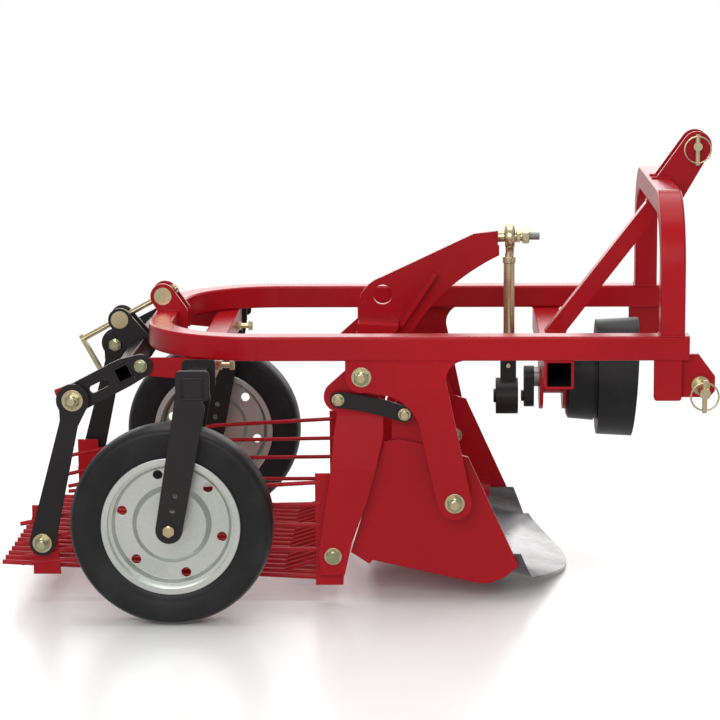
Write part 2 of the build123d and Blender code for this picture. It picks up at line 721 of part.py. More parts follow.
with BuildPart() as screw_grip:
    reach = arm_bar + grip_stem_r * sin(radians(screw_rise - grip_fall)) + run_gap
    stem_x = screw_back[0] + crank_arm * screw_u[1] - reach * screw_u[0]
    stem_z = screw_back[1] - crank_arm * screw_u[0] - reach * screw_u[1]
    stem_plane = Plane(origin=(stem_x, 0, stem_z),
                       z_dir=(-cos(radians(grip_fall)), 0, -sin(radians(grip_fall))))
    with BuildSketch(stem_plane):
        Circle(grip_stem_r)
    extrude(amount=grip_stem)
    with BuildSketch(stem_plane.offset(grip_stem)):
        Circle(grip_r)
    extrude(amount=grip_length)
    fillet(screw_grip.edges().filter_by(GeomType.CIRCLE).group_by(SortBy.RADIUS)[-1], 2)
save(screw_grip, "screw_grip")

# ================= rocker =================

lever_half = 7.0
lever_tip = ball[0] - 26
lever_back = rocker[0] - 19
shelf_z = rocker[1] + 62
shelf_front = rocker[0] + 70
rib_slant = 56.2
with BuildPart() as rocker_lever:
    with BuildSketch(Plane.XZ.offset(-lever_half)) as section:
        with BuildLine():
            top1 = Line((lever_tip, ball[1] + 12), (lever_tip - 52, ball[1] + 6))
            top2 = Line(top1 @ 1, (rocker[0] + 33, rocker[1] + 153))
            back1 = ThreePointArc(top2 @ 1, (rocker[0] - 4, rocker[1] + 127), (lever_back, rocker[1] + 91))
            back2 = Line(back1 @ 1, (lever_back, rocker[1] + 38))
            back3 = Line(back2 @ 1, (rocker[0] - 38, rocker[1]))
            hub = ThreePointArc(back3 @ 1, (rocker[0], rocker[1] - 38), (rocker[0] + 38, rocker[1]))
            low1 = Line(hub @ 1, (rocker[0] + 96, rocker[1] + 28))
            low2 = ThreePointArc(low1 @ 1, (rocker[0] + 131, rocker[1] + 78), (rocker[0] + 185, rocker[1] + 133))
            low3 = ThreePointArc(low2 @ 1, (rocker[0] + 232, rocker[1] + 168), (lever_tip + 3, ball[1] - 41))
            nose = Line(low3 @ 1, (lever_tip + 3, ball[1] - 19))
            step = Line(nose @ 1, (lever_tip, ball[1] - 19))
            Line(step @ 1, top1 @ 0)
        make_face()
        with Locations((rocker[0] + 35, rocker[1] + 115)):
            Circle(21.5, mode=Mode.SUBTRACT)
    extrude(amount=2 * lever_half)
    # slanting ribs and base shelves on both sides of the lever
    for rib_side in (1, -1):
        with BuildSketch(Plane.XZ.offset(rib_side * lever_half)) as rib:
            with Locations(Location((rocker[0] + 112, rocker[1] + 106), rib_slant)):
                Rectangle(138, 10)
        extrude(amount=rib_side * 24)
        with BuildSketch(Plane.XZ.offset(rib_side * lever_half)) as shelf:
            with BuildLine():
                Polyline((lever_back + 2, shelf_z), (shelf_front, shelf_z - 5), (shelf_front, shelf_z - 13),
                         (lever_back + 2, shelf_z - 8), close=True)
            make_face()
        extrude(amount=rib_side * 70)
        with BuildSketch(Plane.XZ.offset(rib_side * (lever_half + 62))) as web:
            with BuildLine():
                Polyline((lever_back + 2, shelf_z - 8), (shelf_front, shelf_z - 12), (rocker[0] + 30, rocker[1]),
                         (rocker[0] - 26, rocker[1]), close=True)
            make_face()
        extrude(amount=rib_side * 8)
    # rocker shaft: a tube from arm to arm
    with BuildSketch(Plane.XZ.offset(-arm_y)) as section:
        with Locations(rocker):
            Circle(26)
    extrude(amount=2 * arm_y)
    with BuildSketch(Plane.XZ.offset(-arm_y)) as section:
        with Locations(rocker):
            Circle(20)
    extrude(amount=2 * arm_y, mode=Mode.SUBTRACT)
save(rocker_lever, "rocker_lever")

stud_r = 8.75
eye_half = 10.5
with BuildPart() as lever_stud:
    # columns: from x, to x, radius
    for x_from, x_to, radius in ((lever_tip, ball[0] - eye_half - seat_gap, 13.0),
                                 (lever_tip, ball[0] + 64, stud_r),
                                 (ball[0] + eye_half + seat_gap, ball[0] + eye_half + 8, 14.0)):
        with BuildSketch(Plane.YZ.offset(x_from)) as section:
            with Locations((0, ball[1])):
                Circle(radius)
        extrude(amount=x_to - x_from)
    for x_from in (ball[0] + eye_half + 8, ball[0] + eye_half + 20):
        with BuildSketch(Plane.YZ.offset(x_from)) as nut:
            with Locations((0, ball[1])):
                RegularPolygon(14, 6, major_radius=False)
        extrude(amount=11)
save(lever_stud, "lever_stud")

# swing arm: bent sheet section in the cross plane, then the arm's side outline
bend_top = 397.0
bend_foot = 288.0
with BuildPart() as swing_arms:
    with BuildSketch(Plane.XZ.offset(arm_y)) as section:
        with Locations(rocker):
            Circle(28)
        with Locations((rocker_pin[0] + 2, rocker_pin[1] + 4)):
            Circle(32)
        make_hull()
        with BuildLine():
            Polyline((rocker_pin[0] - 4, 420), (-45, 392), (-51, 355), (-58, 280), (-79, 145), (-84, 105), (-79, 63),
                     (-30, 63), (-15, 130), (17, 218), (36, 290), (51, 352), (51, 400),
                     (rocker[0] + 27, rocker[1] - 8), (rocker[0], rocker[1]), close=True)
        make_face()
    extrude(amount=arm_set + plate)
    with BuildSketch(Plane.YZ.offset(-120)) as sheet_section:
        with BuildLine():
            Polyline((-arm_y, 540), (-arm_y, bend_top), (-arm_y - arm_set, bend_foot), (-arm_y - arm_set, 40),
                     (-arm_y - arm_set - plate, 40), (-arm_y - arm_set - plate, bend_foot),
                     (-arm_y - plate, bend_top), (-arm_y - plate, 540), close=True)
        make_face()
    extrude(amount=240, mode=Mode.INTERSECT)
    round_step(rocker, 24, arm_y + plate, hanger_y - seat_gap)
    round_step(rocker, pivot_r + run_gap, arm_y, hanger_y, Mode.SUBTRACT)
    round_step(rocker_pin, pin_r, arm_y, arm_y + plate, Mode.SUBTRACT)
    round_step(sieve_pin, pin_r, arm_y + arm_set, arm_y + arm_set + plate, Mode.SUBTRACT)
    mirror(about=Plane.XZ)
save(swing_arms, "swing_arms")

drag_out = drag_y + plate
arm_out = arm_y + arm_set + plate
with BuildPart() as swing_arm_bolts:
    # columns: place, inner end, face under the washer, washer radius, head across flats
    for at, inner, face, washer, flats in ((rocker_pin, arm_y - 1, drag_out + seat_gap, 13, 19),
                                           (sieve_pin, sieve_y + seat_gap, arm_out, 18, 27)):
        round_step(at, pin_r, inner, face + 4)
        round_step(at, washer, face, face + 2)
        hex_step(at, flats, face + 2, face + 2 + 7)
    round_step(rocker_pin, 14, arm_y + plate, drag_y - seat_gap)
    mirror(about=Plane.XZ)
save(swing_arm_bolts, "swing_arm_bolts")

# ================= connecting rod =================

rod_r = 12.0
lug_half = 6.7
cheek = 8.0
with BuildPart() as connecting_rod:
    with BuildSketch(Plane.YZ.offset(ball[0] - eye_half)) as eye:
        with Locations((0, ball[1])):
            Circle(27)
    extrude(amount=2 * eye_half)
    # columns: from z, to z, radius
    for z_from, z_to, radius in ((rod_foot[1] + 26, ball[1] - 40, rod_r), (ball[1] - 58, ball[1] - 44, rod_r + 2),
                                 (ball[1] - 44, ball[1] - 20, 9.5)):
        with BuildSketch(Plane.XY.offset(z_from)) as section:
            with Locations(((rod_foot[0] + ball[0]) / 2, 0)):
                Circle(radius)
        extrude(amount=z_to - z_from)
    hull_plate(((rod_foot, 13), ((rod_foot[0], rod_foot[1] + 18), 13)), -lug_half, lug_half)
    with BuildSketch(Plane.YZ.offset(ball[0] - eye_half)) as bore:
        with Locations((0, ball[1])):
            Circle(stud_r + run_gap)
    extrude(amount=2 * eye_half, mode=Mode.SUBTRACT)
    round_step(rod_foot, 5 + run_gap, -lug_half, lug_half, Mode.SUBTRACT)
save(connecting_rod, "connecting_rod")

housing_r = 39.5
housing_back = 289.0
housing_front = 337.0
housing_z = shaft_z - crank_throw
with BuildPart() as big_end:
    with BuildSketch(Plane.YZ.offset(housing_back)) as section:
        with Locations((0, housing_z)):
            Circle(housing_r)
    extrude(amount=housing_front - housing_back)
    with BuildSketch(Plane.YZ.offset(housing_back)) as section:
        with Locations((0, housing_z)):
            Circle(15)
    extrude(amount=-5)
    for cheek_in in (lug_half + seat_gap, -lug_half - seat_gap - cheek):
        with BuildSketch(Plane.XZ.offset(cheek_in)) as section:
            with BuildLine():
                Polyline((rod_foot[0] - 17, housing_z + 20), (rod_foot[0] + 17, housing_z + 20),
                         (rod_foot[0] + 17, rod_foot[1] + 9), (rod_foot[0] + 8, rod_foot[1] + 18),
                         (rod_foot[0] - 8, rod_foot[1] + 18), (rod_foot[0] - 17, rod_foot[1] + 9), close=True)
            make_face()
        extrude(amount=cheek)
    cheek_out = lug_half + seat_gap + cheek
    round_step(rod_foot, 5, -cheek_out - 3, cheek_out + 3)
save(big_end, "big_end")

# ================= share =================

share_out = share_y + plate
with BuildPart() as share_sides:
    outline(((53, 338), (83, 345), (128, 335), (226, 306), (331, 75), (301, 50), (270, 38), (250, 38), (27, 88),
             (20, 80), (-18, 105)), share_y, share_out)
    with BuildSketch(Plane.XZ.offset(upper_share_y)) as upper:
        with Locations(share_pin):
            Circle(27)
        with Locations(*upper_share_corners):
            Circle(12)
        make_hull()
    extrude(amount=plate)
    round_step(share_pin, 14, share_y, drag_y - seat_gap)
    round_step(share_pin, 27, share_y, share_out)
    round_step(share_pivot, 23, share_out, hanger_y - seat_gap)
    round_step(share_pivot, pivot_r + run_gap, upper_share_y, hanger_y, Mode.SUBTRACT)
    mirror(about=Plane.XZ)
save(share_sides, "share_sides")

with BuildPart() as share_bolts:
    face = drag_out + seat_gap
    round_step(share_pin, pin_r, drag_y - seat_gap, face + 4)
    round_step(share_pin, 13, face, face + 2)
    hex_step(share_pin, 19, face + 2, face + 9)
    mirror(about=Plane.XZ)
save(share_bolts, "share_bolts")


def trough(half, corner, radius, lift):
    """Closing points of one skin of the trough: flat-bottomed arc, corner arc, upright side."""
    corner_y = half - corner
    corner_z = lift + radius - sqrt((radius - corner) ** 2 - corner_y ** 2)
    lean = atan2(corner_y, lift + radius - corner_z)
    join = (corner_y + corner * sin(lean), corner_z - corner * cos(lean))
    mid = (corner_y + corner * sin((lean + radians(90)) / 2), corner_z - corner * cos((lean + radians(90)) / 2))
    return join, mid, (half, corner_z)


def trough_sheet(x_from, x_to, height):
    """The share's sheet between two cross planes square to its slope, as a solid in the current part."""
    slope = radians(share_slope)
    start = Plane(origin=(x_from, 0, (nose_x - x_from) * tan(slope)), x_dir=(0, -1, 0),
                  z_dir=(-cos(slope), 0, sin(slope)))
    outer = trough(share_y, trough_corner, trough_r, 0)
    inner = trough(share_y - sheet, trough_corner - sheet, trough_r - sheet, sheet)
    with BuildSketch(start) as section:
        with BuildLine():
            lines = []
            for join, mid, top in (outer, inner):
                left = (-join[0], join[1])
                base = (0, 0) if top[0] == share_y else (0, sheet)
                ThreePointArc(left, base, join)
                ThreePointArc(join, mid, top)
                ThreePointArc(left, (-mid[0], mid[1]), (-top[0], top[1]))
                Line(top, (top[0], height))
                Line((-top[0], top[1]), (-top[0], height))
            for sign in (-1, 1):
                Line((sign * share_y, height), (sign * (share_y - sheet), height))
        make_face()
    extrude(section.sketch, amount=(x_from - x_to) / cos(slope))


with BuildPart() as share_blade:
    trough_sheet(nose_x + 20, blade_back, 140)
    # side view of the blade: level top, then down its front corner
    with BuildSketch(Plane.XZ.offset(-share_y - 10)) as side_cut:
        with BuildLine():
            Polyline((blade_back - 60, -40), (blade_back - 60, blade_top), (336, blade_top), (shoulder_x, 42),
                     (nose_x + 40, 42), (nose_x + 40, -40), close=True)
        make_face()
    extrude(amount=2 * share_y + 20, mode=Mode.INTERSECT)
    # plan view: a blunt rounded point
    with BuildSketch(Plane.XY.offset(-60)) as plan_cut:
        with BuildLine():
            nose_half = 90.0
            nose_start = nose_x - 9
            Polyline((nose_start, -nose_half), (shoulder_x, -share_y), (blade_back - 60, -share_y),
                     (blade_back - 60, share_y), (shoulder_x, share_y), (nose_start, nose_half))
            ThreePointArc((nose_start, nose_half), (nose_x, 0), (nose_start, -nose_half))
        make_face()
    extrude(amount=240, mode=Mode.INTERSECT)
save(share_blade, "share_blade")

with BuildPart() as share_pan:
    trough_sheet(blade_back, pan_tail, 96)
    with BuildSketch(Plane.XZ.offset(-share_y - 10)) as side_cut:
        with BuildLine():
            Polyline((-60, 0), (-60, 160), (60, 160), (blade_back + 60, 110), (blade_back + 60, 0), close=True)
        make_face()
    extrude(amount=2 * share_y + 20, mode=Mode.INTERSECT)
save(share_pan, "share_pan")

# ================= drag links =================

with BuildPart() as drag_links:
    with BuildSketch(Plane.XZ.offset(drag_y)) as section:
        with BuildLine():
            sag = ThreePointArc(rocker_pin, ((rocker_pin[0] + share_pin[0]) / 2,
                                             (rocker_pin[1] + share_pin[1]) / 2 + drag_rise), share_pin)
            offset(sag, amount=drag_half)
        make_face()
        with Locations(rocker_pin):
            Circle(pin_r + run_gap, mode=Mode.SUBTRACT)
        with Locations(share_pin):
            Circle(pin_r + open_pivot_gap, mode=Mode.SUBTRACT)
    extrude(amount=plate)
    mirror(about=Plane.XZ)
save(drag_links, "drag_links")

# ================= sieve =================

sieve_out = sieve_y + sieve_plate
bar_drop = (bar_rear[1] - bar_front[1]) / (bar_rear[0] - bar_front[0])


def rod_between(start, end, y, radius):
    """A round bar seen from the side from start to end, at width y."""
    run = (end[0] - start[0], end[1] - start[1])
    with BuildSketch(Plane(origin=(start[0], y, start[1]), z_dir=(run[0], 0, run[1]))) as section:
        Circle(radius)
    extrude(section.sketch, amount=hypot(*run))


with BuildPart() as sieve_floor:
    for index in range(bar_count):
        rod_between((bar_front[0] - seat_gap, bar_front[1]), bar_rear, (index - (bar_count - 1) / 2) * bar_pitch,
                    bar_r)
    # cross straps under the bars, columns: rear x, front x
    for x_rear, x_front in ((-372.0, -348.0), (-668.0, -640.0)):
        line_z = bar_front[1] + bar_drop * ((x_rear + x_front) / 2 - bar_front[0])
        outline(((x_rear, line_z - bar_r - strap), (x_front, line_z - bar_r - strap),
                 (x_front, line_z - bar_r + 2), (x_rear, line_z - bar_r + 2)), -sieve_y, sieve_y)
save(sieve_floor, "sieve_floor")

with BuildPart() as sieve_front:
    outline(((bar_front[0], bar_front[1] - 8), (bar_front[0] + sieve_plate, bar_front[1] - 8),
             (bar_front[0] + sieve_plate, finger_top[1] + 5), (bar_front[0], finger_top[1] + 5)),
            -sieve_y, sieve_y)
    for index in range(bar_count - 1):
        rod_between(finger_top, finger_tip, (index + 1 - bar_count / 2) * bar_pitch, finger_r)
save(sieve_front, "sieve_front")

side_mid = sieve_y + sieve_plate / 2
with BuildPart() as sieve_sides:
    outline(((-91, 38), (-34, 38), (-30, 90), (-36, 140), (-52, 275), (-91, 275)), sieve_y, sieve_out)
    outline(((-679, 62), (-622, 62), (-632, 208), (-679, 208)), sieve_y, sieve_out)
    # side rods, columns: z at the front plate, at the bend, at the tail
    for front_z, bend_z, tail_z in ((256.0, 240.0, 168.0), (210.0, 205.0, 125.0), (166.0, 163.0, 96.0),
                                    (114.0, 112.0, 84.0)):
        bend_at = (side_rod_bend, bend_z)
        rod_between((side_rod_front, front_z), bend_at, -side_mid, side_rod_r)
        rod_between(bend_at, (side_rod_tail, tail_z), -side_mid, side_rod_r)
        with Locations((side_rod_bend, -side_mid, bend_z)):
            Sphere(side_rod_r)
    round_step(sieve_pin, 17, sieve_out, arm_y + arm_set - seat_gap)
    round_step(sieve_pin, pin_r + run_gap, sieve_y, arm_y + arm_set, Mode.SUBTRACT)
    round_step(link_foot, 17, sieve_out, link_y - 5)
    mirror(about=Plane.XZ)
save(sieve_sides, "sieve_sides")

# ================= rear links =================

with BuildPart() as rear_links:
    with BuildSketch(Plane.XZ.offset(link_y)) as section:
        with Locations(link_foot):
            Circle(27)
        with Locations((link_top[0] - 8, link_top[1] - 44)):
            Circle(19)
        make_hull()
        with Locations(link_top):
            Circle(34)
        with BuildLine():
            Polyline((link_top[0] - 28, link_top[1] - 18), (link_top[0] - 27, link_top[1] - 46),
                     (link_top[0] + 11, link_top[1] - 52), (link_top[0] + 28, link_top[1] - 18), close=True)
        make_face()
        with Locations(link_top):
            Circle(pin_r + run_gap, mode=Mode.SUBTRACT)
    extrude(amount=plate)
    mirror(about=Plane.XZ)
save(rear_links, "rear_links")

with BuildPart() as link_bolts:
    round_step(link_foot, 14, link_y - 3, link_y)
    round_step(link_foot, 20, link_out, link_out + 3)
    hex_step(link_foot, 27, link_out + 3, link_out + 11)
    mirror(about=Plane.XZ)
save(link_bolts, "link_bolts")
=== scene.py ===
"""Finish of the rear-mounted potato digger: paint, rubber, plating, welds, threads and fasteners,
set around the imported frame. Metres, +X forwards, +Y the machine's left, +Z up.
"""

import json
import math

import bmesh
import bpy
import mathutils
import numpy as np
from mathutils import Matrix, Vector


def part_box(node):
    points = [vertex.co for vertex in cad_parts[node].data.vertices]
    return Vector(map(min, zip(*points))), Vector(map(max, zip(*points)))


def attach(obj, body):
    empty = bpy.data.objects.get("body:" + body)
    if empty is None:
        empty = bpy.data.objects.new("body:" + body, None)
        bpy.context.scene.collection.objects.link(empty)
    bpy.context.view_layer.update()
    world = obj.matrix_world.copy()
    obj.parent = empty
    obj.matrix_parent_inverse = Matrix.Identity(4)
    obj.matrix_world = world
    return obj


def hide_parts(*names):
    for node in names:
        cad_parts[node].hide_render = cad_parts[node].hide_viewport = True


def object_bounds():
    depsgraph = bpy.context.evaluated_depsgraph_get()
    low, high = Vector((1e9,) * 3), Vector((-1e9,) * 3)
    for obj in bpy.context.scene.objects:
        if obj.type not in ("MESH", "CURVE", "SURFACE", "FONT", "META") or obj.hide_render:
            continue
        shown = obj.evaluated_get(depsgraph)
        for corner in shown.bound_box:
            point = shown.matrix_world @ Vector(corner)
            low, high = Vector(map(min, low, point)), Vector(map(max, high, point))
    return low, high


MM = 0.001
TAU = 2 * math.pi

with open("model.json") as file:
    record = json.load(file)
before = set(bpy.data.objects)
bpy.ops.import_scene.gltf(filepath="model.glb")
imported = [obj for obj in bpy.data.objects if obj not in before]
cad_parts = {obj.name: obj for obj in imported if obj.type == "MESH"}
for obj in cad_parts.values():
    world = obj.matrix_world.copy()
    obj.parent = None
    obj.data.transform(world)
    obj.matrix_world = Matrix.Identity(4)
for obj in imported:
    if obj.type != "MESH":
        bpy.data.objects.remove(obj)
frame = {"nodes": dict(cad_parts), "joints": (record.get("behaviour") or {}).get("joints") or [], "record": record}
cad_low, cad_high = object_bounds()
nodes = frame["nodes"]
pivot = {joint["name"]: np.array(joint["pos_m"]) for joint in frame["joints"]}


def edge(node, axis, side):
    """One face of a node's box: axis 0, 1 or 2, side 0 for the lowest and 1 for the highest."""
    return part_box(node)[side][axis]


# ---------------------------------------------------------------- shader maths


class Value:
    """A socket that can be used in Python arithmetic, each operator adding one Math node."""

    def __init__(self, finish, socket):
        self.finish = finish
        self.socket = socket

    def _math(self, operation, first, second):
        return self.finish.node("ShaderNodeMath", {"operation": operation}, {0: first, 1: second})

    def __add__(self, other):
        return self._math("ADD", self, other)

    __radd__ = __add__

    def __mul__(self, other):
        return self._math("MULTIPLY", self, other)

    __rmul__ = __mul__

    def __sub__(self, other):
        return self._math("SUBTRACT", self, other)

    def __rsub__(self, other):
        return self._math("SUBTRACT", other, self)

    def clamp(self):
        """The value held between 0 and 1."""
        return self.finish.node("ShaderNodeClamp", {}, {"Value": self})

    def step(self, low, high):
        """0 below low, 1 above high, smooth between."""
        return self.finish.node("ShaderNodeMapRange", {"interpolation_type": "SMOOTHSTEP"},
                                {"Value": self, "From Min": low, "From Max": high})


class Finish:
    """One procedural material on Object coordinates."""

    def __init__(self, name):
        self.material = bpy.data.materials.new(name)
        self.material.use_nodes = True
        self.tree = self.material.node_tree
        self.tree.nodes.clear()
        self.output = self.tree.nodes.new("ShaderNodeOutputMaterial")
        self.place = self.node("ShaderNodeTexCoord", {}, {}, out="Object")

    def node(self, kind, settings, inputs, out=0):
        """A node of this kind: settings first, then its sockets' values or links; gives one output."""
        made = self.tree.nodes.new(kind)
        for key, value in settings.items():
            setattr(made, key, value)
        for key, value in inputs.items():
            if value is None:
                continue
            socket = made.inputs[key]
            if isinstance(value, Value):
                self.tree.links.new(value.socket, socket)
            elif isinstance(value, tuple) and len(value) == 3 and len(socket.default_value) == 4:
                socket.default_value = (*value, 1.0)
            else:
                socket.default_value = value
        return Value(self, made.outputs[out])

    def stretched(self, scale, centre=(0.0, 0.0, 0.0)):
        """Object coordinates moved to a centre and stretched by scale."""
        moved = self.node("ShaderNodeVectorMath", {"operation": "SUBTRACT"}, {0: self.place, 1: centre})
        return self.node("ShaderNodeVectorMath", {"operation": "MULTIPLY"}, {0: moved, 1: scale})

    def noise(self, scale, detail=3.0, rough=0.5, at=None):
        """Noise between 0 and 1, scale in waves a metre."""
        return self.node("ShaderNodeTexNoise", {}, {"Vector": at or self.place, "Scale": scale,
                                                    "Detail": detail, "Roughness": rough}, out="Fac")

    def specks(self, scale):
        """Distance to the nearest of scattered points, scale in cells a metre."""
        return self.node("ShaderNodeTexVoronoi", {}, {"Vector": self.place, "Scale": scale},
                         out="Distance")

    def mix(self, factor, first, second):
        """A colour between two colours."""
        return self.node("ShaderNodeMix", {"data_type": "RGBA"}, {0: factor, 6: first, 7: second}, out=2)

    def part_of(self, vector, axis):
        """One coordinate of a vector."""
        return self.node("ShaderNodeSeparateXYZ", {}, {0: vector}, out=axis)

    def length(self, vector):
        """The length of a vector."""
        return self.node("ShaderNodeVectorMath", {"operation": "LENGTH"}, {0: vector}, out="Value")

    def bump(self, height, distance, radius=0.0, strength=0.5):
        """A normal from a height in units of distance metres, over edges rounded to a radius."""
        base = None
        if radius:
            base = self.node("ShaderNodeBevel", {"samples": 4}, {"Radius": radius})
        return self.node("ShaderNodeBump", {}, {"Height": height, "Distance": distance, "Strength": strength,
                                                "Normal": base})

    def surface(self, **sockets):
        """The material's shader, its sockets named with underscores for spaces."""
        inputs = {key.replace("_", " "): value for key, value in sockets.items()}
        shader = self.node("ShaderNodeBsdfPrincipled", {}, inputs)
        self.tree.links.new(shader.socket, self.output.inputs["Surface"])
        return self.material


PLATE_EDGE = 1.6 * MM      # radius to which the edges of painted plate are shaded round
SHEET_EDGE = 0.8 * MM      # the same on thin sheet, moulded plastic and ground steel
PLATED_EDGE = 0.5 * MM     # the same on plated fasteners


def paint(name, colour, worn, rough, shine, hollow=None):
    """Sprayed gloss: slow colour drift, orange peel, dust in patches, rounded plate edges. hollow gives the
    middle and half width in x and z of a tube's open inside, which is coloured near black as painted shade."""
    f = Finish(name)
    drift = f.noise(3.2, 2.0)
    dust = (f.noise(26.0, 5.0, 0.62) - 0.46) * 2.2
    dusty = tuple(c * 1.2 + 0.006 for c in colour)
    tone = f.mix(drift.step(0.32, 0.68), colour, worn)
    tone = f.mix((dust.clamp() * 0.16).clamp(), tone, dusty)
    smear = f.noise(7.0, 3.0, 0.5)
    gloss = (smear - 0.5) * 0.06 + rough
    if hollow:
        middle, half = hollow
        offset = f.stretched((1.0, 0.0, 1.0), (middle[0], 0.0, middle[1]))
        reach = f.node("ShaderNodeVectorMath", {"operation": "ABSOLUTE"}, {0: offset})
        wide = f.node("ShaderNodeMath", {"operation": "MAXIMUM"},
                      {0: f.part_of(reach, 0), 1: f.part_of(reach, 2)})
        # painted shade: the tube's open inside is coloured near black and made matt
        painted_shade_inside = 1.0 - wide.step(half, half + 0.5 * MM)
        tone = f.mix(painted_shade_inside, tone, (0.004, 0.0035, 0.0035))
        gloss = (gloss + painted_shade_inside).clamp()
    peel = f.noise(420.0, 2.0) * 0.6 + f.noise(70.0, 2.0) * 0.4
    return f.surface(Base_Color=tone, Roughness=gloss, Specular_IOR_Level=shine,
                     Normal=f.bump(peel, 0.06 * MM, PLATE_EDGE))


def plated(name, colour, tint, rough):
    """Passivated zinc: yellow with greenish and rosy clouds, a fine grain, a satin shine."""
    f = Finish(name)
    cloud = f.noise(45.0, 4.0, 0.6)
    rose = f.noise(80.0, 3.0, 0.6, f.stretched((1.0, 1.6, 1.0), (0.3, 0.2, 0.1)))
    rosy = (colour[0], colour[1] * 0.72, colour[2] * 0.6)
    tone = f.mix(cloud.step(0.35, 0.7), colour, tint)
    tone = f.mix((rose.step(0.52, 0.75) * 0.35).clamp(), tone, rosy)
    return f.surface(Base_Color=tone, Metallic=0.88, Roughness=(cloud - 0.5) * 0.2 + rough,
                     Normal=f.bump(f.noise(900.0, 2.0), 0.03 * MM, PLATED_EDGE))


# columns: colour, worn colour, roughness, shine
RED = ((0.345, 0.0060, 0.0105), (0.300, 0.0050, 0.0090), 0.26, 0.15)
BLACK = ((0.0115, 0.0100, 0.0100), (0.017, 0.015, 0.015), 0.34, 0.20)
red_paint = paint("red_gloss_paint", *RED)
black_paint = paint("black_satin_paint", *BLACK)
yellow_zinc = plated("yellow_zinc_plate", (0.58, 0.47, 0.28), (0.47, 0.44, 0.28), 0.24)
olive_zinc = plated("olive_zinc_plate", (0.36, 0.37, 0.22), (0.27, 0.30, 0.17), 0.22)


def make_guard_plastic():
    """Moulded black guard: a fine grain, scuffed paler in patches."""
    f = Finish("black_guard_plastic")
    scuff = f.noise(14.0, 5.0, 0.65)
    tone = f.mix(scuff.step(0.45, 0.75), (0.008, 0.008, 0.0085), (0.016, 0.0155, 0.016))
    return f.surface(Base_Color=tone, Roughness=(scuff - 0.5) * 0.2 + 0.40, Specular_IOR_Level=0.25,
                     Normal=f.bump(f.noise(700.0, 2.0), 0.06 * MM, SHEET_EDGE, 0.6))


def make_galvanised():
    """Zinc-dipped sheet: pale spangle, greenish bloom, dull in patches."""
    f = Finish("galvanised_sheet")
    spangle = f.specks(150.0)
    bloom = f.noise(11.0, 4.0, 0.6)
    tone = f.mix(bloom.step(0.35, 0.7), (0.60, 0.62, 0.58), (0.50, 0.54, 0.48))
    tone = f.mix((spangle.step(0.25, 0.6) * 0.18).clamp(), tone, (0.70, 0.71, 0.69))
    return f.surface(Base_Color=tone, Metallic=0.85, Roughness=(bloom - 0.5) * 0.2 + 0.30,
                     Normal=f.bump(f.noise(35.0, 2.0), 0.06 * MM, SHEET_EDGE))


def make_bare_steel():
    """Rolled and ground steel: lengthwise grinding lines, mill scale left in patches."""
    f = Finish("ground_steel")
    lines = f.noise(240.0, 3.0, 0.6, f.stretched((0.12, 1.0, 1.0)))
    scale = f.noise(9.0, 5.0, 0.65, f.stretched((1.0, 0.6, 1.0)))
    tone = f.mix(scale.step(0.45, 0.72), (0.34, 0.34, 0.34), (0.17, 0.165, 0.165))
    tone = f.mix((lines.step(0.4, 0.7) * 0.3).clamp(), tone, (0.46, 0.46, 0.46))
    return f.surface(Base_Color=tone, Metallic=0.7, Roughness=(scale - 0.5) * 0.3 + 0.38,
                     Normal=f.bump(lines, 0.08 * MM, SHEET_EDGE))


blade_front = edge("share_blade", 0, 1)
SCALE_FROM = (30 * MM, 38 * MM)         # heights between which worn steel turns to mill scale
HEEL_FROM = (150 * MM, 138 * MM)        # distances behind the point between which scale turns to worn steel
WORN_WITHIN = (110 * MM, 200 * MM)      # distances from the middle between which the steel turns grey


def make_blade_steel():
    """The digging blade: pale worn steel, greyer to the sides, dark scale on the wings and the heel."""
    f = Finish("blade_steel")
    lines = f.noise(260.0, 3.0, 0.6, f.stretched((0.10, 1.0, 1.0)))
    cloud = f.noise(8.0, 4.0, 0.6)
    ahead = f.part_of(f.place, 0)
    across = f.part_of(f.place, 1) + (cloud - 0.5) * (50 * MM)
    height = f.part_of(f.place, 2) + (cloud - 0.5) * (10 * MM)
    heel = 1.0 - ahead.step(*(blade_front - behind for behind in HEEL_FROM))
    dark = (height.step(*SCALE_FROM) + heel).clamp()
    unworn = (across * across).step(*(out ** 2 for out in WORN_WITHIN))
    pale = f.mix(cloud.step(0.35, 0.7), (0.50, 0.50, 0.50), (0.36, 0.355, 0.35))
    pale = f.mix((lines.step(0.4, 0.7) * 0.35).clamp(), pale, (0.74, 0.74, 0.74))
    pale = f.mix((unworn * 0.8).clamp(), pale, (0.135, 0.128, 0.130))
    scale = f.mix(lines.step(0.35, 0.7), (0.050, 0.046, 0.048), (0.085, 0.078, 0.080))
    return f.surface(Base_Color=f.mix(dark, pale, scale), Metallic=dark * -0.25 + 0.45,
                     Roughness=(cloud - 0.5) * 0.2 + dark * 0.08 + 0.34,
                     Normal=f.bump(lines, 0.08 * MM, SHEET_EDGE))


def make_rubber():
    """Solid tyre rubber: near black, chalky in patches, a fine grain."""
    f = Finish("tyre_rubber")
    bloom = f.noise(12.0, 5.0, 0.6)
    tone = f.mix(bloom.step(0.4, 0.75), (0.0095, 0.0095, 0.0105), (0.018, 0.018, 0.020))
    return f.surface(Base_Color=tone, Roughness=(bloom - 0.5) * 0.2 + 0.42, Specular_IOR_Level=0.22,
                     Normal=f.bump(f.noise(320.0, 3.0), 0.1 * MM))


finishes = {
    "red_paint": red_paint,
    "black_paint": black_paint,
    "black_plastic": make_guard_plastic(),
    "yellow_zinc": yellow_zinc,
    "galvanised": make_galvanised(),
    "bare_steel": make_bare_steel(),
    "tyre_rubber": make_rubber(),
}

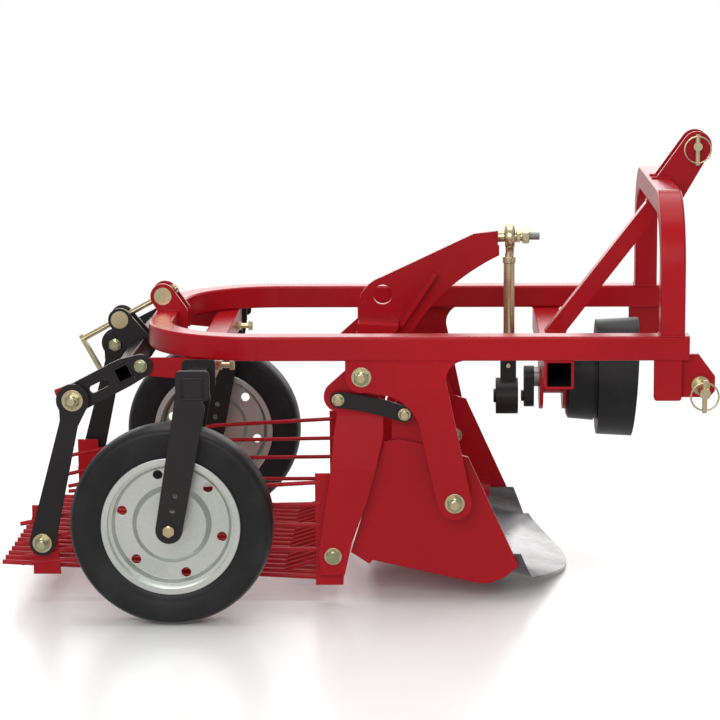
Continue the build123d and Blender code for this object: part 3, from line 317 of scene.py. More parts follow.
for part in frame["record"]["subparts"]:
    mesh = nodes[part["node"]].data
    mesh.materials.clear()
    mesh.materials.append(finishes[part["material_slot"]])
nodes["share_blade"].data.materials[0] = make_blade_steel()
cross_low, cross_high = (np.array(corner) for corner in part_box("drive_cross_tube"))
CROSS_WALL = 5.5 * MM      # from the cross tube's face to where the painted shade of its open inside starts
cross_middle = tuple(float(v) for v in ((cross_low + cross_high) / 2)[[0, 2]])
# the cross tube's open ends get painted shade inside them
nodes["drive_cross_tube"].data.materials[0] = paint(
    "red_gloss_paint_open_tube", *RED,
    hollow=(cross_middle, float(cross_high[0] - cross_low[0]) / 2 - CROSS_WALL))


# ---------------------------------------------------------------- surfaces

POINT = 1e-6                          # a radius this small closes the end of a surface
MERGED = 4e-6                         # points nearer than this become one
SMOOTH_LIMIT = math.radians(32)       # faces that meet at more than this keep a sharp edge


def axes_about(direction):
    """Two unit vectors square to a direction and to each other."""
    along = np.asarray(direction, float)
    along = along / np.linalg.norm(along)
    helper = np.array([0.0, 0.0, 1.0]) if abs(along[2]) < 0.9 else np.array([1.0, 0.0, 0.0])
    first = np.cross(helper, along)
    first /= np.linalg.norm(first)
    return along, first, np.cross(along, first)


def grid_faces(rows, columns, close_rows, close_columns, offset):
    """Quads between neighbouring rows and columns of a grid, its points counted from offset."""
    row = np.arange(rows if close_rows else rows - 1)[:, None]
    column = np.arange(columns if close_columns else columns - 1)[None, :]
    next_row, next_column = (row + 1) % rows, (column + 1) % columns
    corners = [row * columns + column, row * columns + next_column,
               next_row * columns + next_column, next_row * columns + column]
    shape = (row.size, column.size)
    return np.stack([np.broadcast_to(corner, shape) for corner in corners], -1).reshape(-1, 4) + offset


class Piece:
    """Collects surfaces into one mesh object."""

    def __init__(self):
        self.points = []
        self.quads = []
        self.count = 0

    def add(self, grid, close_rows=False, close_columns=False):
        """A grid of points, shape (rows, columns, 3)."""
        grid = np.asarray(grid, float)
        rows, columns = grid.shape[:2]
        self.quads.append(grid_faces(rows, columns, close_rows, close_columns, self.count))
        self.points.append(grid.reshape(-1, 3))
        self.count += rows * columns

    def lathe(self, centre, direction, profile, turns, reach=None):
        """A profile of (distance along, radius) turned about an axis; reach(angle, radius, distance) may
        reshape the radius. Radius 0 at an end closes it."""
        along, first, second = axes_about(direction)
        profile = np.asarray(profile, float)
        angle = np.linspace(0, TAU, turns, endpoint=False)[None, :]
        distance, radius = profile[:, 0][:, None], profile[:, 1][:, None]
        radius = radius + 0 * angle
        if reach:
            radius = reach(angle, radius, distance)
        radius = np.maximum(radius, POINT)
        grid = (np.asarray(centre, float) + distance[..., None] * along
                + (radius * np.cos(angle))[..., None] * first + (radius * np.sin(angle))[..., None] * second)
        self.add(grid, close_columns=True)

    def pipe(self, path, radius, sides=12, closed=False):
        """A round section carried along a path of points; radius may change from point to point."""
        path = np.asarray(path, float)
        ahead = np.roll(path, -1, 0) - np.roll(path, 1, 0)
        if not closed:
            ahead[0], ahead[-1] = path[1] - path[0], path[-1] - path[-2]
        ahead /= np.linalg.norm(ahead, axis=1)[:, None]
        spread = ahead.max(0) - ahead.min(0)
        helper = np.eye(3)[int(np.argmin(spread + np.abs(ahead).mean(0)))]
        first = np.cross(helper, ahead)
        first /= np.linalg.norm(first, axis=1)[:, None]
        second = np.cross(ahead, first)
        radius = np.broadcast_to(np.asarray(radius, float), (len(path),))
        if not closed:
            path = np.concatenate([path[:1], path, path[-1:]])
            first, second = (np.concatenate([v[:1], v, v[-1:]]) for v in (first, second))
            radius = np.concatenate([[POINT], radius, [POINT]])
        angle = np.linspace(0, TAU, sides, endpoint=False)
        grid = (path[:, None, :] + radius[:, None, None]
                * (np.cos(angle)[None, :, None] * first[:, None, :]
                   + np.sin(angle)[None, :, None] * second[:, None, :]))
        self.add(grid, close_rows=closed, close_columns=True)

    def finish(self, name, body, slot, replaced=(), material=None):
        """The mesh object, riding on a body."""
        mesh = bpy.data.meshes.new(name)
        mesh.from_pydata(np.concatenate(self.points).tolist(), [], np.concatenate(self.quads).tolist())
        made = bpy.data.objects.new(name, mesh)
        bpy.context.scene.collection.objects.link(made)
        mesh.materials.append(material or finishes[slot])
        clean(mesh)
        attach(made, body)
        if replaced:
            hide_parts(*replaced)


def clean(mesh):
    """Merges doubled points, turns the faces outwards and smooths all but sharp edges."""
    work = bmesh.new()
    work.from_mesh(mesh)
    bmesh.ops.remove_doubles(work, verts=work.verts, dist=MERGED)
    bmesh.ops.dissolve_degenerate(work, edges=work.edges, dist=1e-7)
    bmesh.ops.recalc_face_normals(work, faces=work.faces)
    for each in work.faces:
        each.smooth = True
    for each in work.edges:
        each.smooth = len(each.link_faces) < 2 or each.calc_face_angle(0.0) < SMOOTH_LIMIT
    work.to_mesh(mesh)
    work.free()


# ---------------------------------------------------------------- fasteners

CONE_RISE = 1.7            # radius gained per length on a hexagon's turned-off corners
HEAD_HEIGHT = 0.5          # height of a head or nut over its width across flats
FOOT_HEIGHT = 0.42         # the same for the nut on a bolt's inner end
BORE = 0.7                 # bore of a washer over the shank's radius
NUT_BACK = 3 * MM          # from a shank's inner end to that nut
SKIRT_T = 2.5 * MM         # thickness of the washer under that nut
PITCH = 2 * MM             # of every screw end
BITE = 0.5 * MM            # how far a screw end starts inside its nut
CROWN_SINK = 0.3 * MM      # how far a head's crown starts inside it
CROWN_T = 0.8 * MM


def hexagon(flats, chamfer, length):
    """Reach of a hexagon bar with turned-off corners: the lesser of the six flats and a cone at each end."""
    def reach(angle, radius, distance):
        sector = (angle + TAU / 12) % (TAU / 6) - TAU / 12
        bar = flats / 2 / np.cos(sector)
        near_end = np.minimum(distance, length - distance)
        cone = flats / 2 + np.maximum(near_end, 0) * CONE_RISE - chamfer * 0.2
        solid = np.minimum(bar, np.maximum(cone, 0))
        return np.where(radius > flats * 0.4, solid, radius)
    return reach


def hex_head(piece, face, direction, flats, height, bore=0.0):
    """A hexagon nut or bolt head standing on a face, chamfered at both ends."""
    stations = [(0.0, bore), (0.0, flats / 2), (height * 0.05, flats), (height * 0.12, flats),
                (height * 0.2, flats), (height * 0.8, flats), (height * 0.88, flats),
                (height * 0.95, flats), (height, flats / 2), (height, bore)]
    piece.lathe(face, direction, stations, turns=72, reach=hexagon(flats, flats * 0.08, height))


def disc(piece, face, direction, radius, thickness, bore=0.0, turns=56):
    """A washer or collar with small rounded rims."""
    soft = min(0.5 * MM, thickness * 0.3)
    piece.lathe(face, direction, [(0, bore), (0, radius - soft), (soft, radius), (thickness - soft, radius),
                                  (thickness, radius - soft), (thickness, bore)], turns)


def thread(piece, start, direction, radius, length, pitch, point=1.2 * MM):
    """A screwed end: the radius follows a triangle wave of distance / pitch less the turn, and the tip is
    chamfered over its last point."""
    steps = max(8, int(length / pitch * 8))
    distance = np.linspace(0, length, steps)
    profile = np.column_stack([distance, np.full(steps, radius)])

    def reach(angle, rad, along):
        phase = (along / pitch - angle / TAU) % 1.0
        ridge = np.abs(phase * 2 - 1)
        taper = np.clip((length - along) / point, 0, 1)
        return (rad - 0.55 * pitch * ridge * 0.9) * (0.82 + 0.18 * taper)
    piece.lathe(start, direction, profile, turns=28, reach=reach)
    along = axes_about(direction)[0]
    tip = np.asarray(start, float) + along * length
    piece.lathe(tip, direction, [(0, radius * 0.8), (0.0, 0.0)], turns=28)


def bolt(piece, nuts, at, side, inner, face, shank, washer, flats, tail,
         washer_t=3 * MM, foot=0.0, skirt=0.0):
    """A bolt across the machine at (x, z): shank of this radius from inner to face, a washer of this radius,
    a hexagon and a screw end of length tail outside. foot is the width over flats of a nut on its inner end,
    skirt the radius of a washer under that nut."""
    outward = np.array([0.0, side, 0.0])
    start = np.array([at[0], side * inner, at[1]])
    outer = np.array([at[0], side * face, at[1]])
    height = HEAD_HEIGHT * flats
    piece.lathe(start, outward, [(0, 0), (0, shank - 1 * MM), (1 * MM, shank), (face - inner, shank)], 32)
    if washer:
        disc(piece, outer, outward, washer, washer_t, shank * BORE)
    else:
        washer_t = 0.0
    hex_head(nuts, outer + outward * washer_t, outward, flats, height)
    end = outer + outward * (washer_t + height)
    if tail:
        thread(piece, end - outward * BITE, outward, shank, tail, PITCH)
    else:
        # shallow crown of the head
        disc(nuts, end - outward * CROWN_SINK, outward, flats * 0.40, CROWN_T)
    if foot:
        seat = start + outward * NUT_BACK
        hex_head(nuts, seat, outward, foot, FOOT_HEIGHT * foot)
        if skirt:
            disc(piece, seat + outward * FOOT_HEIGHT * foot, outward, skirt, SKIRT_T, shank * BORE)


PLATE = 8 * MM             # thickness of the side plates, hangers and links
hanger_face = edge("hangers", 1, 1)
drag_face = edge("drag_links", 1, 1)
link_face = edge("rear_links", 1, 1)
link_back = link_face - PLATE
adjust_face = edge("adjuster_tube", 1, 1) - 2 * MM
share_face = edge("share_blade", 1, 1)
tube_at = (np.array(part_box("adjuster_tube")[0]) + np.array(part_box("adjuster_tube")[1]))[[0, 2]] / 2
arm_pivot_at = tube_at + np.array([36 * MM, 15 * MM])
rocker_at = pivot["shake"][[0, 2]]
share_pivot_at = pivot["share_tilt"][[0, 2]]
rocker_pin_at = pivot["drag_link_swing"][[0, 2]]
sieve_pin_at = pivot["sieve_swing"][[0, 2]]
link_top_at = pivot["rear_link_swing"][[0, 2]]
axle_at = pivot["wheel_right_spin"][[0, 2]]
share_low, share_high = (np.array(corner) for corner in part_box("share_bolts"))
share_pin_at = (share_low + share_high)[[0, 2]] / 2
foot_low, foot_high = (np.array(corner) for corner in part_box("link_bolts"))
link_foot_at = (foot_low + foot_high)[[0, 2]] / 2

BOTH = (-1, 1)

frame_bolts, frame_nuts = Piece(), Piece()
for side in BOTH:
    # columns: place, inner end, face, shank, washer, flats, screw end, inner nut, inner washer
    for at, inner, face, shank, washer, flats, tail, foot, skirt in (
            (rocker_at, 330 * MM, hanger_face, 10 * MM, 20.5 * MM, 28 * MM, 5 * MM, 0, 0),
            (share_pivot_at, share_face - 20 * MM, hanger_face, 10 * MM, 20.5 * MM, 28 * MM, 5 * MM,
             28 * MM, 19 * MM),
            (link_top_at, adjust_face - 26 * MM, link_face, 9 * MM, 22 * MM, 27 * MM, 7 * MM, 27 * MM, 0),
            (arm_pivot_at, adjust_face - 24 * MM, adjust_face, 7 * MM, 13.5 * MM, 22 * MM, 0, 22 * MM, 0)):
        bolt(frame_bolts, frame_nuts, at, side, inner, face, shank, washer, flats, tail,
             foot=foot, skirt=skirt)
frame_bolts.finish("hanger_and_arm_bolts", "frame", "yellow_zinc", ("frame_bolts",))
frame_nuts.finish("hanger_and_arm_nuts", "frame", "yellow_zinc", material=olive_zinc)

arm_bolts, arm_nuts = Piece(), Piece()
for side in BOTH:
    bolt(arm_bolts, arm_nuts, rocker_pin_at, side, inner=drag_face - 23 * MM, face=drag_face, shank=9 * MM,
         washer=13 * MM, flats=19 * MM, tail=4 * MM, washer_t=2 * MM)
    bolt(arm_bolts, arm_nuts, sieve_pin_at, side, inner=drag_face - 15 * MM, face=drag_face, shank=9 * MM,
         washer=18 * MM, flats=26 * MM, tail=0)
    # spacer between the arm and the drag link
    disc(arm_bolts, (rocker_pin_at[0], side * (drag_face - 14 * MM), rocker_pin_at[1]), (0, side, 0),
         radius=14 * MM, thickness=5.7 * MM)
arm_bolts.finish("swing_arm_bolts_dressed", "rocker", "yellow_zinc", ("swing_arm_bolts",))
arm_nuts.finish("swing_arm_nuts", "rocker", "yellow_zinc", material=olive_zinc)

share_bolts, share_nuts = Piece(), Piece()
for side in BOTH:
    bolt(share_bolts, share_nuts, share_pin_at, side, inner=drag_face - 8.3 * MM, face=drag_face,
         shank=9 * MM, washer=13 * MM, flats=19 * MM, tail=4 * MM, washer_t=2 * MM)
share_bolts.finish("share_bolts_dressed", "share", "yellow_zinc", ("share_bolts",))
share_nuts.finish("share_bolt_nuts", "share", "yellow_zinc", material=olive_zinc)

link_bolts, link_nuts = Piece(), Piece()
for side in BOTH:
    bolt(link_bolts, link_nuts, link_foot_at, side, inner=link_back - 3 * MM, face=link_face,
         shank=13 * MM, washer=20 * MM, flats=27 * MM, tail=0)
    thread(link_bolts, (link_foot_at[0], side * (link_face + 16 * MM), link_foot_at[1]), (0, side, 0),
           radius=9 * MM, length=5 * MM, pitch=PITCH)
link_bolts.finish("link_bolts_dressed", "rear_links", "yellow_zinc", ("link_bolts",))
link_nuts.finish("link_bolt_nuts", "rear_links", "yellow_zinc", material=olive_zinc)

wheel_middle = abs(pivot["wheel_right_spin"][1])
fork_face = -edge("wheel_fork_right", 1, 0)
fork_span = fork_face - wheel_middle
hub_half = (edge("wheel_disc_left", 1, 1) - edge("wheel_disc_left", 1, 0)) / 2
HUB_GAP = 0.3 * MM         # between the hub and the spacers beside it
axle_bolts, axle_nuts = Piece(), Piece()
for side in BOTH:
    bolt(axle_bolts, axle_nuts, axle_at, side, inner=wheel_middle - fork_span - 17 * MM, face=fork_face,
         shank=7 * MM, washer=0, flats=22 * MM, tail=0, foot=22 * MM)
    for near, far in ((PLATE - fork_span, -hub_half - HUB_GAP), (hub_half + HUB_GAP, fork_span - PLATE)):
        disc(axle_bolts, (axle_at[0], side * (wheel_middle + near), axle_at[1]), (0, side, 0),
             radius=16 * MM, thickness=far - near)
axle_bolts.finish("axle_bolts_dressed", "frame", "yellow_zinc", ("axle_bolts",))
axle_nuts.finish("axle_bolt_heads", "frame", "yellow_zinc", material=yellow_zinc)


# ---------------------------------------------------------------- tyres


BEAD_HALF = 33 * MM        # half width of the tyre at its bead
BEAD_R = 139 * MM
SEAT_R = 132.2 * MM        # radius of the rim seat under the tyre
SHOULDER = 17 * MM         # from the widest place of the wall up to the tread
POWER = 2.5                # n of the shoulder's superellipse
LIP_OUT = 35.6 * MM        # the rim's rolled lips: distance from the middle, radius and half thickness
LIP_R = 138.2 * MM
LIP_HALF = 2.4 * MM


def tyre_profile(half, bead_half, bead_r, seat_r, tread_r):
    """Half-section of a smooth solid tyre: bead, bulging wall, shoulder as a superellipse, flat tread.
    The wall swells from bead_half to half as a quarter sine; above that
    (y / half)^n + ((r - widest) / (tread_r - widest))^n = 1."""
    widest = tread_r - SHOULDER
    rise = np.linspace(0, 1, 12)
    wall_r = bead_r + (widest - bead_r) * rise
    wall_y = bead_half + (half - bead_half) * np.sin(rise * TAU / 4)
    turn = np.linspace(0, TAU / 4, 26)[1:]
    power = 2 / POWER
    round_y = half * np.cos(turn) ** power
    round_r = widest + (tread_r - widest) * np.sin(turn) ** power
    # a moulded ring a sixth of the way up the wall
    wall_y = wall_y + 0.9 * MM * np.exp(-((rise - 0.16) / 0.05) ** 2)
    y = np.concatenate([[bead_half], wall_y, round_y])
    r = np.concatenate([[seat_r], wall_r, round_r])
    return np.column_stack([np.concatenate([-y, y[::-1]]), np.concatenate([r, r[::-1]])])


for side, word in ((-1, "right"), (1, "left")):
    low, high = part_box(f"tyre_{word}")
    tread = (high[2] - low[2]) / 2
    tyre = Piece()
    section = tyre_profile((high[1] - low[1]) / 2, BEAD_HALF, BEAD_R, SEAT_R, tread)
    hub = (axle_at[0], side * wheel_middle, axle_at[1])
    tyre.lathe(hub, (0, 1, 0), np.concatenate([section, section[:1]]), 144)
    tyre.finish(f"tyre_{word}_moulded", f"wheel_{word}", "tyre_rubber", (f"tyre_{word}",))
    lips = Piece()
    turn = np.linspace(0, TAU, 120, endpoint=False)
    for out in (-LIP_OUT, LIP_OUT):
        ring = np.stack([hub[0] + LIP_R * np.cos(turn), hub[1] + out + 0 * turn,
                         hub[2] + LIP_R * np.sin(turn)], -1)
        lips.pipe(ring, LIP_HALF, 12, closed=True)
    lips.finish(f"rim_lips_{word}", f"wheel_{word}", "galvanised")


# ---------------------------------------------------------------- connecting rod and stud

ball_at = pivot["rod_sway"]
rod_low = np.array(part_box("connecting_rod")[0])
EYE_HALF = 10.4 * MM       # half thickness of the rod's upper eye
EYE_R = 27 * MM
BALL_R = 17 * MM           # the ball joint's ball and its bore
BALL_BORE = 8.9 * MM
FOOT_R = 13 * MM           # the rod's flat foot: radius, bore, half thickness and the softening of its rims
FOOT_BORE = 5.2 * MM
FOOT_HALF = 6.6 * MM
FOOT_SOFT = 0.6 * MM
OFFSET = 1.5 * MM          # the rod's middle lies this far behind the ball, and its foot as far again
rod_foot_z = rod_low[2] + FOOT_R
rod_mid_x = ball_at[0] - OFFSET


def sweep_up(piece, stations, sides=40):
    """A bar along Z from stations of (z, x, half width in x, half width in y, squareness); the section is
    |x/a|^n + |y/b|^n = 1 with n the squareness."""
    table = np.asarray(stations, float)
    turn = np.linspace(0, TAU, sides, endpoint=False)[None, :]
    z, x, wide, deep, power = (table[:, k][:, None] for k in range(5))
    across = np.sign(np.cos(turn)) * np.abs(np.cos(turn)) ** (2 / power)
    depth = np.sign(np.sin(turn)) * np.abs(np.sin(turn)) ** (2 / power)
    piece.add(np.stack([x + wide * across, deep * depth, z + 0 * turn], -1), close_columns=True)


rod = Piece()
top = ball_at[2]
# columns: height, middle in x, half widths in x and y, squareness; first the collar and the neck of the eye
sweep_up(rod, (
    (top - 58.5 * MM, rod_mid_x, 0.1 * MM, 0.1 * MM, 2),
    (top - 58.5 * MM, rod_mid_x, 13 * MM, 13 * MM, 2),
    (top - 57 * MM, rod_mid_x, 14.2 * MM, 14.2 * MM, 2),
    (top - 46 * MM, rod_mid_x, 14.2 * MM, 14.2 * MM, 2),
    (top - 44.5 * MM, rod_mid_x, 12.8 * MM, 12.8 * MM, 2),
    (top - 44 * MM, rod_mid_x, 9.8 * MM, 9.8 * MM, 2),
    (top - 33 * MM, ball_at[0], 9.2 * MM, 9.2 * MM, 2),
    (top - 28 * MM, ball_at[0], 9.6 * MM, 12 * MM, 2.2),
    (top - 22 * MM, ball_at[0], 10 * MM, 17 * MM, 2.6),
    (top - 16 * MM, ball_at[0], 7 * MM, 14 * MM, 2.6)))
# then the bar, from its flat foot up into the collar
sweep_up(rod, (
    (rod_foot_z + 2 * MM, rod_mid_x - OFFSET, 12.5 * MM, FOOT_HALF, 5),
    (rod_foot_z + 20 * MM, rod_mid_x - 1.2 * MM, 12.8 * MM, FOOT_HALF, 5),
    (rod_foot_z + 30 * MM, rod_mid_x - 0.8 * MM, 12.8 * MM, 9 * MM, 3),
    (rod_foot_z + 42 * MM, rod_mid_x, 12 * MM, 12 * MM, 2),
    (top - 57 * MM, rod_mid_x, 12 * MM, 12 * MM, 2)))
eye = np.linspace(-1, 1, 25)
eye_r = EYE_R - 4.2 * MM * np.abs(eye) ** 3.2
socket = [(EYE_HALF, BALL_R), (EYE_HALF - 2.5 * MM, 15 * MM), (2.5 * MM - EYE_HALF, 15 * MM),
          (-EYE_HALF, BALL_R)]
rod.lathe(ball_at, (1, 0, 0),
          np.concatenate([[(-EYE_HALF, BALL_R)], np.column_stack([eye * EYE_HALF, eye_r]), socket]), 72)
bead = np.linspace(-0.96, 0.96, 17) * EYE_HALF
rod.lathe(ball_at, (1, 0, 0),
          np.concatenate([[(bead[0], BALL_BORE)], np.column_stack([bead, np.sqrt(BALL_R ** 2 - bead ** 2)]),
                          [(bead[-1], BALL_BORE)]]), 56)
foot_at = np.array([rod_mid_x - OFFSET, 0.0, rod_foot_z])
rod.lathe(foot_at - np.array([0, FOOT_HALF, 0]), (0, 1, 0),
          [(0, FOOT_BORE), (0, FOOT_R - FOOT_SOFT), (FOOT_SOFT, FOOT_R), (2 * FOOT_HALF - FOOT_SOFT, FOOT_R),
           (2 * FOOT_HALF, FOOT_R - FOOT_SOFT), (2 * FOOT_HALF, FOOT_BORE), (0, FOOT_BORE)], 48)
rod.finish("connecting_rod_dressed", "rod", "yellow_zinc", ("connecting_rod",))

stud_low, stud_high = (np.array(corner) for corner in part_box("lever_stud"))
SHOULDER_R = 13 * MM       # the stud's shoulder against the lever, and its shank through the ball
SHANK_R = 8.7 * MM
BALL_HALF = 10.8 * MM      # from the ball's middle to the shoulder and to the washer
stud = Piece()
ahead = np.array([1.0, 0.0, 0.0])
base = np.array([stud_low[0], 0.0, ball_at[2]])
reach_x = ball_at[0] - stud_low[0]
stud.lathe(base, ahead, [(0, 0), (0, SHOULDER_R - 0.5 * MM), (1 * MM, SHOULDER_R),
                         (reach_x - 12.2 * MM, SHOULDER_R), (reach_x - BALL_HALF, 11.5 * MM),
                         (reach_x - BALL_HALF, SHANK_R), (reach_x + 22 * MM, SHANK_R)], 40)
washer_at = base + ahead * (reach_x + BALL_HALF)
disc(stud, washer_at, ahead, radius=13.6 * MM, thickness=3 * MM, bore=8 * MM)
hex_head(stud, washer_at + ahead * 3.4 * MM, ahead, flats=24 * MM, height=9 * MM)
hex_head(stud, washer_at + ahead * 16 * MM, ahead, flats=28 * MM, height=15 * MM)
stud.lathe(washer_at + ahead * 12 * MM, ahead, [(0, 11 * MM), (4 * MM, 11 * MM)], 36)
stud.finish("lever_stud_dressed", "rocker", "yellow_zinc", ("lever_stud",))
stud_end = Piece()
tail_from = reach_x + BALL_HALF + 30 * MM
thread(stud_end, base + ahead * tail_from, ahead, radius=8.75 * MM,
       length=stud_high[0] - stud_low[0] - tail_from, pitch=PITCH)
stud_end.finish("lever_stud_thread", "rocker", "bare_steel")

rod_foot_at = pivot["big_end_tilt"]
lug_pin = Piece()
for side in BOTH:
    # the pin's end shows this far out, on the lug's face
    disc(lug_pin, (rod_foot_at[0], side * 17.7 * MM, rod_foot_at[2]), (0, side, 0),
         radius=4.8 * MM, thickness=0.8 * MM)
lug_pin.finish("lug_pin_ends", "big_end", "yellow_zinc")


# ---------------------------------------------------------------- welds


def bead_of(piece, points, radius=2.6 * MM, pitch=3.2 * MM):
    """A weld bead along corners: a round run that tapers at both ends, its radius rippling as
    0.92 + 0.16 |sin(pi s / pitch)| with s the distance along it."""
    points = np.asarray(points, float)
    runs = np.linalg.norm(np.diff(points, axis=0), axis=1)
    total = runs.sum()
    along = np.concatenate([[0], np.cumsum(runs)])
    s = np.linspace(0, total, max(6, int(total / (0.8 * MM))))
    path = np.stack([np.interp(s, along, points[:, k]) for k in range(3)], -1)
    size = radius * (0.92 + 0.16 * np.abs(np.sin(math.pi * s / pitch)))
    size = size * np.clip(0.4 + np.minimum(s, total - s) / (3 * MM), 0, 1)
    piece.pipe(path, size, 8)


def ring_of(low, high, axis, level):
    """Corners round a box, ending at the first, in the plane where an axis has this level."""
    first, second = [k for k in range(3) if k != axis]
    corners = []
    for a, b in ((0, 0), (1, 0), (1, 1), (0, 1), (0, 0)):
        point = [0.0, 0.0, 0.0]
        point[axis] = level
        point[first] = (low, high)[a][first]
        point[second] = (low, high)[b][second]
        corners.append(point)
    return corners


rail_top = edge("rail_right", 2, 1)
rail_foot = edge("rail_right", 2, 0)
arch_low, arch_high = (np.array(corner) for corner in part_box("headstock_arch"))
plates_high = np.array(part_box("top_link_plates")[1])
strut_low, strut_high = (np.array(corner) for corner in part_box("headstock_strut"))
hanger_low, hanger_high = (np.array(corner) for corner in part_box("hangers"))
bracket_low, bracket_high = (np.array(corner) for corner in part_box("lower_brackets"))
clevis_high = np.array(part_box("bow_clevis")[1])
bow_low = np.array(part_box("rear_bow")[0])
TUBE = 50 * MM             # width of the frame's square tubes
HANGER_WELD_END = 0.212    # forward end of the hangers' welds under the rails
BRACKET_FOOT = 54 * MM     # from the lower brackets' back to the forward end of their welds under the rails
BRACKET_HEAD = 57 * MM     # from the same back to their upright welds
STRUT_FOOT = 48 * MM       # from the strut's back to the forward end of its welds on the cross tube
STRUT_HEAD = 45 * MM       # from the strut's front back to the weld at its head

welds = Piece()
for side in BOTH:
    leg_out = side * arch_high[1]
    leg_in = side * (arch_high[1] - TUBE)
    bead_of(welds, [(arch_low[0], leg_out, rail_top), (arch_high[0], leg_out, rail_top)], 2.2 * MM)
    bead_of(welds, [(arch_low[0], leg_out, rail_top), (arch_low[0], leg_in, rail_top),
                    (arch_high[0], leg_in, rail_top)])
    # hitch plates on the arch
    for y in (side * plates_high[1], side * (plates_high[1] - PLATE)):
        bead_of(welds, [(arch_low[0] + 6 * MM, y, arch_high[2] + 1 * MM),
                        (arch_high[0], y, arch_high[2] + 0.5 * MM),
                        (arch_high[0] + 0.5 * MM, y, arch_high[2] - 0.8 * TUBE)], 3.2 * MM)
    # hangers under the rails
    for y in (side * hanger_high[1], side * (hanger_high[1] - PLATE)):
        bead_of(welds, [(hanger_low[0] + 4 * MM, y, rail_foot), (HANGER_WELD_END, y, rail_foot)], 2.0 * MM)
    # lower brackets under the rails
    foot_y, head_y = side * bracket_high[1], side * (bracket_high[1] - 11 * MM)
    bead_of(welds, [(bracket_low[0] + 3 * MM, foot_y, rail_foot),
                    (bracket_low[0] + BRACKET_FOOT, foot_y, rail_foot)], 2.0 * MM)
    bead_of(welds, [(bracket_low[0] + BRACKET_HEAD, head_y, rail_foot - 2 * MM),
                    (bracket_low[0] + BRACKET_HEAD, head_y, bracket_low[2] + 6 * MM)], 2.4 * MM)
    # bow clevis on the bow
    for y in (side * clevis_high[1], side * (clevis_high[1] - PLATE)):
        bead_of(welds, [(bow_low[0] + 5 * MM, y, rail_top + 0.5 * MM),
                        (bow_low[0] + TUBE, y, rail_top + 0.5 * MM),
                        (bow_low[0] + TUBE + 1 * MM, y, rail_foot + 10 * MM)], 3.0 * MM)
    # cross tube under the rails
    for x in (cross_low[0], cross_high[0]):
        bead_of(welds, [(x, side * (arch_high[1] - TUBE), cross_high[2]),
                        (x, side * cross_high[1], cross_high[2])], 2.4 * MM)
    # strut at its foot and head
    bead_of(welds, [(strut_low[0] + 4 * MM, side * strut_high[1], cross_high[2] + 1 * MM),
                    (strut_low[0] + STRUT_FOOT, side * strut_high[1], cross_high[2] + 1 * MM)], 2.8 * MM)
bead_of(welds, [(strut_high[0] - STRUT_HEAD, strut_low[1], strut_high[2]),
                (strut_high[0] - STRUT_HEAD, strut_high[1], strut_high[2])], 3.0 * MM)
welds.finish("frame_welds", "frame", "red_paint")

RECEIVER_HALF = 20.5 * MM  # half width of the square the receiver tube's welds run round
stem_welds = Piece()
receiver_low, receiver_high = (np.array(corner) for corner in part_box("receiver_tube"))
for side in BOTH:
    half = np.array([RECEIVER_HALF, 0, RECEIVER_HALF])
    middle = (receiver_low + receiver_high) / 2
    bead_of(stem_welds, ring_of(middle - half, middle + half, 1, side * fork_face), 2.4 * MM)
    bead_of(stem_welds, ring_of(middle - half, middle + half, 1, side * (fork_face - PLATE)), 2.6 * MM)
stem_welds.finish("stem_welds", "frame", "black_paint")


# ---------------------------------------------------------------- stage

FILL = 0.56                # strength of the white room's light on the machine
SKY_MIRRORED = 0.50        # strength of the room, and of the floor, where they are mirrored
FLOOR_MIRRORED = 0.70
FADE = (0.9, 2.6)          # distances over which the floor fades to white
FLOOR_REACH = 60.0


def make_floor():
    """A wide pale floor that fades to white away from the machine, keeps its shadow and faint shine, and
    stays dim where it is mirrored in the paint."""
    f = Finish("pale_floor")
    away = f.length(f.stretched((0.85, 1.0, 0.0), (0.0, 0.1, 0.0))).step(*FADE)
    path = f.tree.nodes.new("ShaderNodeLightPath")
    camera_ray, glossy_ray, clear_ray = (Value(f, path.outputs[name]) for name in
                                         ("Is Camera Ray", "Is Glossy Ray", "Is Transmission Ray"))
    tone = f.mix(f.noise(2.5, 2.0).step(0.3, 0.7), (0.88, 0.875, 0.87), (0.90, 0.895, 0.89))
    ground = f.node("ShaderNodeBsdfPrincipled", {}, {"Base Color": tone, "Roughness": 0.30,
                                                     "Specular IOR Level": 0.45})
    glow = f.node("ShaderNodeEmission", {}, {"Color": (1.0, 1.0, 1.0), "Strength": 1.0})
    dim = f.node("ShaderNodeEmission", {}, {"Color": (1.0, 0.97, 0.96), "Strength": FLOOR_MIRRORED})
    seen = (camera_ray + clear_ray).clamp()
    both = f.node("ShaderNodeMixShader", {}, {0: seen * away, 1: ground, 2: glow})
    both = f.node("ShaderNodeMixShader", {}, {0: glossy_ray, 1: both, 2: dim})
    f.tree.links.new(both.socket, f.output.inputs["Surface"])
    ends = (-FLOOR_REACH, FLOOR_REACH)
    mesh = bpy.data.meshes.new("floor")
    mesh.from_pydata([(x, y, 0.0) for y in ends for x in ends], [], [(0, 1, 3, 2)])
    floor = bpy.data.objects.new("floor", mesh)
    bpy.context.scene.collection.objects.link(floor)
    mesh.materials.append(f.material)


make_floor()


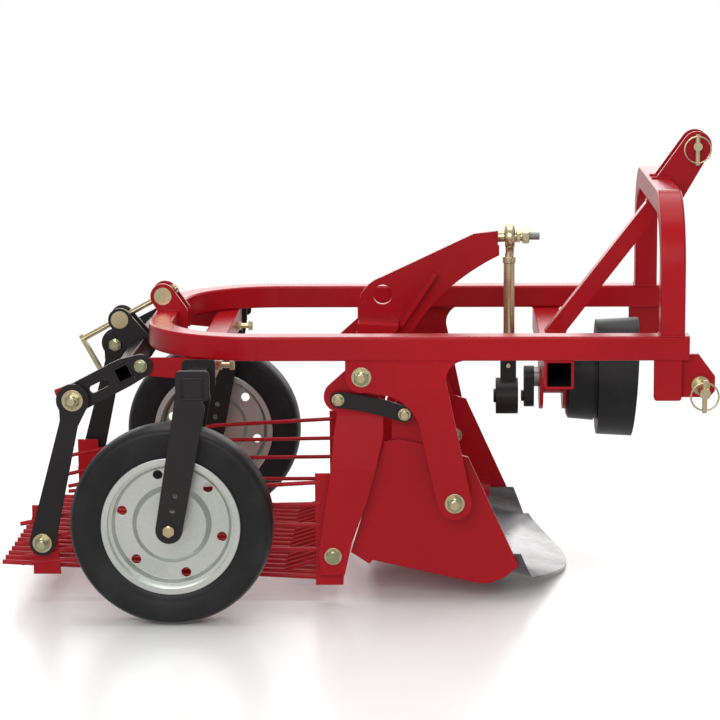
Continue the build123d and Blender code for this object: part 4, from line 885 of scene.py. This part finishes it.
def make_world():
    """A white room: plain white where it is seen, dimmer where it is mirrored, a soft fill on the rest."""
    world = bpy.data.worlds.new("studio")
    bpy.context.scene.world = world
    world.use_nodes = True
    tree = world.node_tree
    tree.nodes.clear()
    path = tree.nodes.new("ShaderNodeLightPath")
    shade = None
    # columns: strength, the ray that sees it
    for strength, ray in ((FILL, None), (SKY_MIRRORED, "Is Glossy Ray"), (1.0, "Is Camera Ray")):
        sky = tree.nodes.new("ShaderNodeBackground")
        sky.inputs["Color"].default_value = (1.0, 1.0, 1.0, 1.0)
        sky.inputs["Strength"].default_value = strength
        if shade is None:
            shade = sky
            continue
        mix = tree.nodes.new("ShaderNodeMixShader")
        tree.links.new(path.outputs[ray], mix.inputs[0])
        tree.links.new(shade.outputs[0], mix.inputs[1])
        tree.links.new(sky.outputs[0], mix.inputs[2])
        shade = mix
    out = tree.nodes.new("ShaderNodeOutputWorld")
    tree.links.new(shade.outputs[0], out.inputs["Surface"])


make_world()


def lamp(name, place, target, size, power):
    """A rectangular softbox at a place, facing a target, with its power in watts."""
    data = bpy.data.lights.new(name, "AREA")
    data.shape = "RECTANGLE"
    data.size, data.size_y = size
    data.energy = power
    lit = bpy.data.objects.new(name, data)
    bpy.context.scene.collection.objects.link(lit)
    back = np.asarray(place, float) - np.asarray(target, float)
    along, first, second = axes_about(back)
    lit.matrix_world = mathutils.Matrix.Translation(place) @ mathutils.Matrix(
        np.column_stack([first, second, along]).tolist()).to_4x4()


centre = (np.array(cad_low) + np.array(cad_high)) / 2
# columns: name, place from the machine's middle, size, watts
for name, shift, size, power in (("overhead_softbox", (0.1, 0.5, 2.6), (3.4, 2.6), 70.0),
                                 ("front_softbox", (-0.6, -4.2, 1.6), (3.0, 2.2), 88.0),
                                 ("rear_softbox", (0.0, 3.4, 1.0), (5.0, 1.5), 50.0)):
    lamp(name, tuple(centre + np.array(shift)), tuple(centre), size, power)


# ---------------------------------------------------------------- camera

CAMERA_PLACE = (0.1844, -5.6214, 1.4241)
CAMERA_TURN = (80.202, 0.267, 0.946)      # degrees
LENS = 130.64              # millimetres, as the sensor
SENSOR = 36.0
SHIFT = -0.0601            # of the picture's width

camera_data = bpy.data.cameras.new("camera")
camera_data.lens = LENS
camera_data.sensor_width = SENSOR
camera_data.shift_x = SHIFT
camera = bpy.data.objects.new("camera", camera_data)
bpy.context.scene.collection.objects.link(camera)
camera.location = CAMERA_PLACE
camera.rotation_euler = tuple(math.radians(turn) for turn in CAMERA_TURN)
bpy.context.scene.camera = camera

bpy.context.scene.view_settings.view_transform = "Standard"
